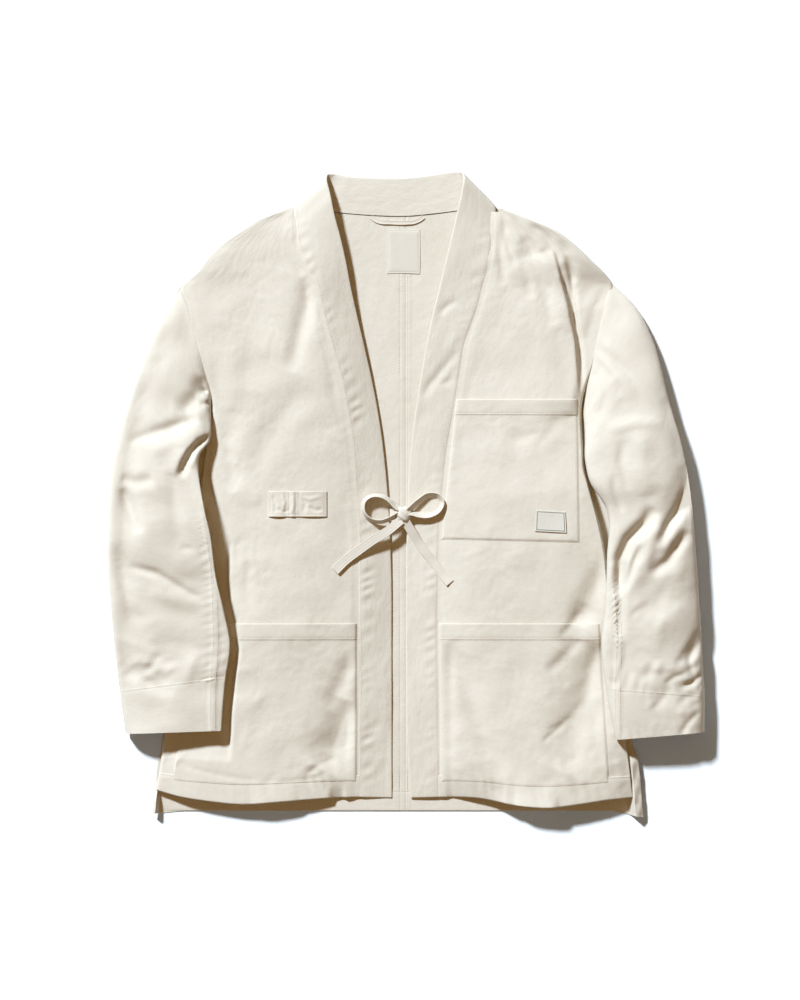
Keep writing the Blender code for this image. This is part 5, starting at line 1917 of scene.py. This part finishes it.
@dataclass(frozen=True)
class ClothFinish:
    """A woven cotton: its colours, thread and wrinkles."""

    name: str
    light: tuple[float, float, float]
    dark: tuple[float, float, float]
    thread: float = 0.00055
    weave: float = 0.25
    wrinkle: float = 0.5
    roughness: float = 0.9
    sheen: float = 0.1
    border: Spot | None = None

    def material(self, groups: dict[str, bpy.types.NodeTree]) -> bpy.types.Material:
        """Build the material.

        Args:
            groups: The shared effects, by name.

        Returns:
            The material.
        """
        made = bpy.data.materials.new(self.name)
        made.use_nodes = True
        nodes = NodeTree(made.node_tree)
        shader = made.node_tree.nodes["Principled BSDF"]
        cloth = nodes.add("ShaderNodeUVMap", uv_map="cloth").outputs[0]
        part = {}
        for label in ("weave", "crease", "tone"):
            part[label] = nodes.add("ShaderNodeGroup", node_tree=groups[label])
            nodes.join(cloth, part[label].inputs["Cloth"])
        part["weave"].inputs["Thread"].default_value = self.thread
        mix = nodes.add("ShaderNodeMix", data_type="RGBA")
        nodes.feed(mix, 0, nodes.ramp(part["tone"].outputs["Tone"], 0.3, 0.75))
        nodes.feed(mix, 6, (*self.dark, 1.0))
        nodes.feed(mix, 7, (*self.light, 1.0))
        slub = nodes.add("ShaderNodeMix", data_type="RGBA", blend_type="MULTIPLY")
        nodes.feed(slub, 0, nodes.math("MULTIPLY", part["weave"].outputs["Slub"], 0.5))
        nodes.join(mix.outputs[2], slub.inputs[6])
        nodes.feed(slub, 7, (0.93, 0.92, 0.9, 1.0))
        speck = nodes.add("ShaderNodeMix", data_type="RGBA")
        nodes.feed(speck, 0, nodes.math("MULTIPLY", part["tone"].outputs["Speck"], 0.45))
        nodes.join(slub.outputs[2], speck.inputs[6])
        nodes.feed(speck, 7, (0.42, 0.33, 0.22, 1.0))
        colour = speck.outputs[2]
        if self.border:
            colour = self.bordered(nodes, cloth, colour)
        nodes.join(colour, shader.inputs["Base Color"])
        wrinkle = nodes.add("ShaderNodeBump")
        nodes.feed(wrinkle, "Strength", self.wrinkle)
        nodes.feed(wrinkle, "Distance", 0.0016)
        nodes.join(part["crease"].outputs["Height"], wrinkle.inputs["Height"])
        weave = nodes.add("ShaderNodeBump")
        nodes.feed(weave, "Strength", self.weave)
        nodes.feed(weave, "Distance", 0.0002)
        nodes.join(part["weave"].outputs["Height"], weave.inputs["Height"])
        nodes.join(wrinkle.outputs[0], weave.inputs["Normal"])
        nodes.join(weave.outputs[0], shader.inputs["Normal"])
        shader.inputs["Roughness"].default_value = self.roughness
        shader.inputs["Specular IOR Level"].default_value = 0.25
        shader.inputs["Sheen Weight"].default_value = self.sheen
        shader.inputs["Sheen Roughness"].default_value = 0.5
        return made

    def bordered(
        self, nodes: NodeTree, cloth: bpy.types.NodeSocket, colour: bpy.types.NodeSocket
    ) -> bpy.types.NodeSocket:
        """Weave a thin dark line round a label, a little in from its edge."""
        parts = nodes.add("ShaderNodeSeparateXYZ")
        nodes.join(cloth, parts.inputs[0])
        width, length = self.border
        off = []
        for output, size in ((parts.outputs[0], width), (parts.outputs[1], length)):
            from_middle = nodes.math("ABSOLUTE", nodes.math("SUBTRACT", output, size / 2))
            off.append(nodes.math("SUBTRACT", size / 2, from_middle))
        inside = nodes.math("MINIMUM", *off)
        away = nodes.math("ABSOLUTE", nodes.math("SUBTRACT", inside, 0.0021))
        line = nodes.ramp(away, 0.0006, 0.0003)
        mix = nodes.add("ShaderNodeMix", data_type="RGBA")
        nodes.join(line, mix.inputs[0])
        nodes.join(colour, mix.inputs[6])
        nodes.feed(mix, 7, (0.16, 0.17, 0.14, 1.0))
        return mix.outputs[2]


CANVAS = ClothFinish("Undyed canvas", (0.641, 0.595, 0.512), (0.617, 0.566, 0.483))
TAPE = ClothFinish("Tie tape", (0.650, 0.603, 0.521), (0.617, 0.565, 0.488), wrinkle=0.2)
LABEL = ClothFinish(
    "Woven label", (0.633, 0.608, 0.537), (0.598, 0.573, 0.504), 0.0003, wrinkle=0.15, border=(0.0385, 0.026)
)
NECK_CLOTH = ClothFinish("Neck label", (0.636, 0.595, 0.516), (0.611, 0.570, 0.493), 0.0003, wrinkle=0.2)


@dataclass(frozen=True)
class ThreadFinish:
    """Cotton sewing thread."""

    name: str = "Sewing thread"
    colour: tuple[float, float, float] = (0.636, 0.584, 0.503)

    def material(self) -> bpy.types.Material:
        """Build the material, with the thread's twist."""
        made = bpy.data.materials.new(self.name)
        made.use_nodes = True
        nodes = NodeTree(made.node_tree)
        shader = made.node_tree.nodes["Principled BSDF"]
        place = nodes.add("ShaderNodeTexCoord").outputs["Object"]
        twist = nodes.noise(place, 2600.0, 1.0, 0.5)
        mix = nodes.add("ShaderNodeMix", data_type="RGBA")
        nodes.join(twist, mix.inputs[0])
        nodes.feed(mix, 6, (*[0.82 * part for part in self.colour], 1.0))
        nodes.feed(mix, 7, (*self.colour, 1.0))
        nodes.join(mix.outputs[2], shader.inputs["Base Color"])
        bump = nodes.add("ShaderNodeBump")
        nodes.feed(bump, "Strength", 0.4)
        nodes.feed(bump, "Distance", 0.0001)
        nodes.join(twist, bump.inputs["Height"])
        nodes.join(bump.outputs[0], shader.inputs["Normal"])
        shader.inputs["Roughness"].default_value = 0.7
        return made


GLOW_SPREAD = 0.35
FLOOR_GLOW_LEAN = 0.8


@dataclass(frozen=True)
class Studio:
    """The floor, the lights and the camera."""

    view_height: float = 1.22
    distance: float = 6.0
    middle: Spot = (-0.0079, -0.0079)
    floor_size: float = 9.0
    lamp_from: tuple[float, float, float] = (-0.457, 0.638, 0.62)
    lamp_distance: float = 14.0
    lamp_size: float = 1.7
    lamp_level: float = 1.1
    fill: float = 0.17
    cloth_glow: float = 0.11
    floor_glow: float = 0.058

    def floor(self) -> bpy.types.Object:
        """Build the plain pale floor."""
        mesh = bmesh.new()
        bmesh.ops.create_grid(mesh, x_segments=2, y_segments=2, size=self.floor_size / 2)
        bmesh.ops.translate(mesh, verts=mesh.verts[:], vec=Vector((0, 0, -0.0002)))
        made = laid_mesh(None, mesh, "studio_floor")
        paint = bpy.data.materials.new("Floor")
        paint.use_nodes = True
        shader = paint.node_tree.nodes["Principled BSDF"]
        shader.inputs["Base Color"].default_value = (1.0, 1.0, 1.0, 1.0)
        shader.inputs["Roughness"].default_value = 0.9
        shader.inputs["Specular IOR Level"].default_value = 0.1
        made.data.materials.append(paint)
        made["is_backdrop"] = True
        return made

    def lights(self) -> None:
        """Place the key light at the upper left and a warm fill all round."""
        key = bpy.data.lights.new("key", "AREA")
        key.shape = "DISK"
        key.size = self.lamp_size
        key.energy = self.lamp_level / self.lamp_from[2] * (math.pi * self.lamp_distance) ** 2
        key.color = (0.888, 1.008, 1.135)
        lamp = bpy.data.objects.new("key", key)
        toward = Vector(self.lamp_from).normalized()
        lamp.location = toward * self.lamp_distance
        lamp.rotation_euler = toward.to_track_quat("Z", "Y").to_euler()
        bpy.context.scene.collection.objects.link(lamp)
        world = bpy.data.worlds.new("studio")
        world.use_nodes = True
        world.node_tree.nodes["Background"].inputs[0].default_value = (1.0, 0.72, 0.46, 1.0)
        world.node_tree.nodes["Background"].inputs[1].default_value = self.fill
        bpy.context.scene.world = world

    def glow(
        self, name: str, level: float, colour: Colour, lean: float, lit: list[bpy.types.Object]
    ) -> None:
        """Add a weak wide light that falls on some pieces only.

        Args:
            name: Name of the light.
            level: Its level beside the key's.
            colour: Its colour.
            lean: Its lean toward the hem; a light from straight above throws no shadow.
            lit: The pieces that it falls on.
        """
        sun = bpy.data.lights.new(name, "SUN")
        sun.energy = level * math.pi
        sun.color = colour
        sun.angle = GLOW_SPREAD
        sun.use_shadow = lean > 0.0
        lamp = bpy.data.objects.new(name, sun)
        lamp.rotation_euler = (lean, 0.0, 0.0)
        bpy.context.scene.collection.objects.link(lamp)
        receivers = bpy.data.collections.new(name)
        for piece in lit:
            receivers.objects.link(piece)
        lamp.light_linking.receiver_collection = receivers

    def camera(self) -> None:
        """Place the camera straight above, as in the photograph."""
        data = bpy.data.cameras.new("camera")
        data.lens = data.sensor_width * self.distance / self.view_height
        data.clip_end = 40.0
        made = bpy.data.objects.new("camera", data)
        made.location = (*self.middle, self.distance)
        bpy.context.scene.collection.objects.link(made)
        bpy.context.scene.camera = made
        bpy.context.scene.view_settings.view_transform = "Standard"


@dataclass(frozen=True)
class Dressing:
    """How a finished piece is hung on the frame."""

    made: bpy.types.Object
    finish: bpy.types.Material
    slot: str = "canvas"
    nodes: tuple[str, ...] = ()
    flat: Spot | None = None
    area: float | None = None
    rests_on: tuple[str, ...] = ()


def dress(piece: Dressing) -> None:
    """Give a piece its finish and hang it on the frame.

    Args:
        piece: The piece and what it stands for.
    """
    piece.made.data.materials.append(piece.finish)
    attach(piece.made, ROW_BODY)
    if piece.nodes:
        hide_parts(*piece.nodes)
    LOG.info("%s: %d faces", piece.made.name, len(piece.made.data.polygons))


class Jacket:
    """The whole jacket, built piece by piece."""

    def __init__(self) -> None:
        """Make the shared effects and the finishes."""
        groups = {"weave": weave_group(), "crease": crease_group(), "tone": tone_group()}
        self.canvas = CANVAS.material(groups)
        self.tape = TAPE.material(groups)
        self.label = LABEL.material(groups)
        self.neck_cloth = NECK_CLOTH.material(groups)
        self.thread = ThreadFinish().material()
        self.fronts = {side: FrontPanel(side) for side in Side}
        self.patches = {side: self.patches_on(side) for side in Side}

    def patches_on(self, side: Side) -> list[Patch]:
        """List the pieces that lie on a front."""
        body = self.fronts[side]
        pieces = [Patch(cut, body) for cut in POCKETS[side]]
        if side is Side.RIGHT:
            return pieces + [PenStrip(PEN_STRIP, body)]
        return pieces + [LabelPatch(CHEST_PATCH, body)]

    def build_panels(self) -> None:
        """Build both fronts and both halves of the back."""
        for side, front in self.fronts.items():
            end = side.name.lower()
            back = BackPanel(side)
            dress(
                Dressing(back.build(), self.canvas, nodes=(f"back_{end}",), flat=BACK_CUT, area=BACK_AREA)
            )
            dress(
                Dressing(
                    front.build(), self.canvas, nodes=(f"front_{end}",), flat=FRONT_CUT, area=FRONT_AREA,
                    rests_on=(f"back_panel_{end}",),
                ),
            )
            dress(Dressing(sew_front(front, self.patches[side]).build(), self.thread))
            if side is Side.LEFT:
                dress(Dressing(sew_back(back).build(), self.thread))

    def build_sleeves(self) -> None:
        """Build both sleeves."""
        for side, front in self.fronts.items():
            end = side.name.lower()
            sleeve = Sleeve(front)
            dress(
                Dressing(
                    sleeve.build(), self.canvas, nodes=(f"sleeve_{end}",), flat=SLEEVE_CUT,
                    area=SLEEVE_AREA, rests_on=(f"front_panel_{end}",),
                ),
            )
            dress(Dressing(sew_sleeve(sleeve).build(), self.thread))

    def build_band(self) -> None:
        """Build the collar band."""
        band = CollarBand(self.fronts[Side.RIGHT], self.fronts[Side.LEFT])
        made = band.build()
        resting = ("front_panel_right", "front_panel_left")
        flat = (BAND_CUT_WIDTH, band.length)
        dress(Dressing(made, self.canvas, nodes=("collar_band",), flat=flat, rests_on=resting))
        dress(Dressing(sew_band(band).build(), self.thread))

    def build_patches(self) -> None:
        """Build the pockets, the pen strip and the label on the chest."""
        for side, patches in self.patches.items():
            resting = f"front_panel_{side.name.lower()}"
            for patch in patches:
                made = patch.build()
                if isinstance(patch, LabelPatch):
                    flat = (patch.width, patch.length)
                    piece = Dressing(made, self.label, "label", (patch.cut.node,), flat)
                    dress(piece)
                    continue
                bulge = 1.12 if isinstance(patch, PenStrip) else 1.0
                flat = (patch.width * bulge, patch.length)
                dress(Dressing(made, self.canvas, "canvas", (patch.cut.node,), flat, rests_on=(resting,)))

    def build_neck(self) -> None:
        """Build the hanging loop and the label inside the neck."""
        label = NeckLabel()
        (x0, y0), (x1, y1) = label.corners
        resting = ("back_panel_right",)
        flat = (x1 - x0, y1 - y0)
        dress(Dressing(label.build(), self.neck_cloth, "label", ("neck_label",), flat, rests_on=resting))
        self.build_tape(Tape("hanger_tape", HANGER, HANGER_WIDTH, 1.0), "hanger_loop", ())

    def build_tape(self, tape: Tape, node: str, rests_on: tuple[str, ...]) -> None:
        """Build one tape and hang it on the frame."""
        flat = (max(tape.width, LEAST_FLAT), max(tape.length, LEAST_FLAT))
        area = tape.width * tape.length * MM * MM
        piece = Dressing(tape.build(), self.tape, "tape", (node,), flat, area, rests_on)
        dress(piece)

    def build_bow(self) -> None:
        """Build the bow: two loops, two tails, the leads to the band and the knot."""
        band = ("band_cloth",)
        tail_right = rested(TAIL_RIGHT, self.fronts[Side.RIGHT])
        tail_left = rested(TAIL_LEFT, self.fronts[Side.LEFT])
        for route, name in (
            (LOOP_RIGHT, "bow_loop_right"),
            (LOOP_LEFT, "bow_loop_left"),
            (tail_right, "bow_tail_right"),
            (tail_left, "bow_tail_left"),
            (LEAD_RIGHT, "tie_lead_right"),
            (LEAD_LEFT, "tie_lead_left"),
        ):
            self.build_tape(Tape(f"{name}_tape", route, TAPE_WIDTH, TAPE_WALL), name, band)
        flat = (KNOT_CUT_WIDTH, KNOT_LENGTH)
        dress(Dressing(Knot().build(), self.tape, "tape", ("bow_knot",), flat, rests_on=band))

    def build(self) -> None:
        """Build every piece, from the surface up."""
        self.build_panels()
        self.build_sleeves()
        self.build_band()
        self.build_patches()
        self.build_neck()
        self.build_bow()


BACK_CUT = (300.0, 762.0)
BACK_AREA = 0.196
FRONT_CUT = (262.0, 742.0)
FRONT_AREA = 0.139
SLEEVE_CUT = (275.0, 560.0)
SLEEVE_AREA = 0.126
BAND_CUT_WIDTH = 45.0
LEAST_FLAT = 12.0


def corners() -> list[list[float]]:
    """Return the lowest and the highest corner of what is shown."""
    return [[float(part) for part in corner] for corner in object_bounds()]


def main() -> None:
    """Build the jacket in its studio."""
    logging.basicConfig(level=logging.INFO, format="%(name)s: %(message)s")
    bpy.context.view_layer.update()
    known = set(bpy.data.objects)
    Jacket().build()
    cloth = [made for made in bpy.data.objects if made not in known]
    studio = Studio()
    floor = studio.floor()
    studio.lights()
    studio.glow("cloth_glow", studio.cloth_glow, (1.0, 0.52, 0.06), 0.0, cloth)
    studio.glow("floor_glow", studio.floor_glow, (0.0, 0.6, 1.0), FLOOR_GLOW_LEAN, [floor])
    studio.camera()


if __name__ == "__main__":
    main()
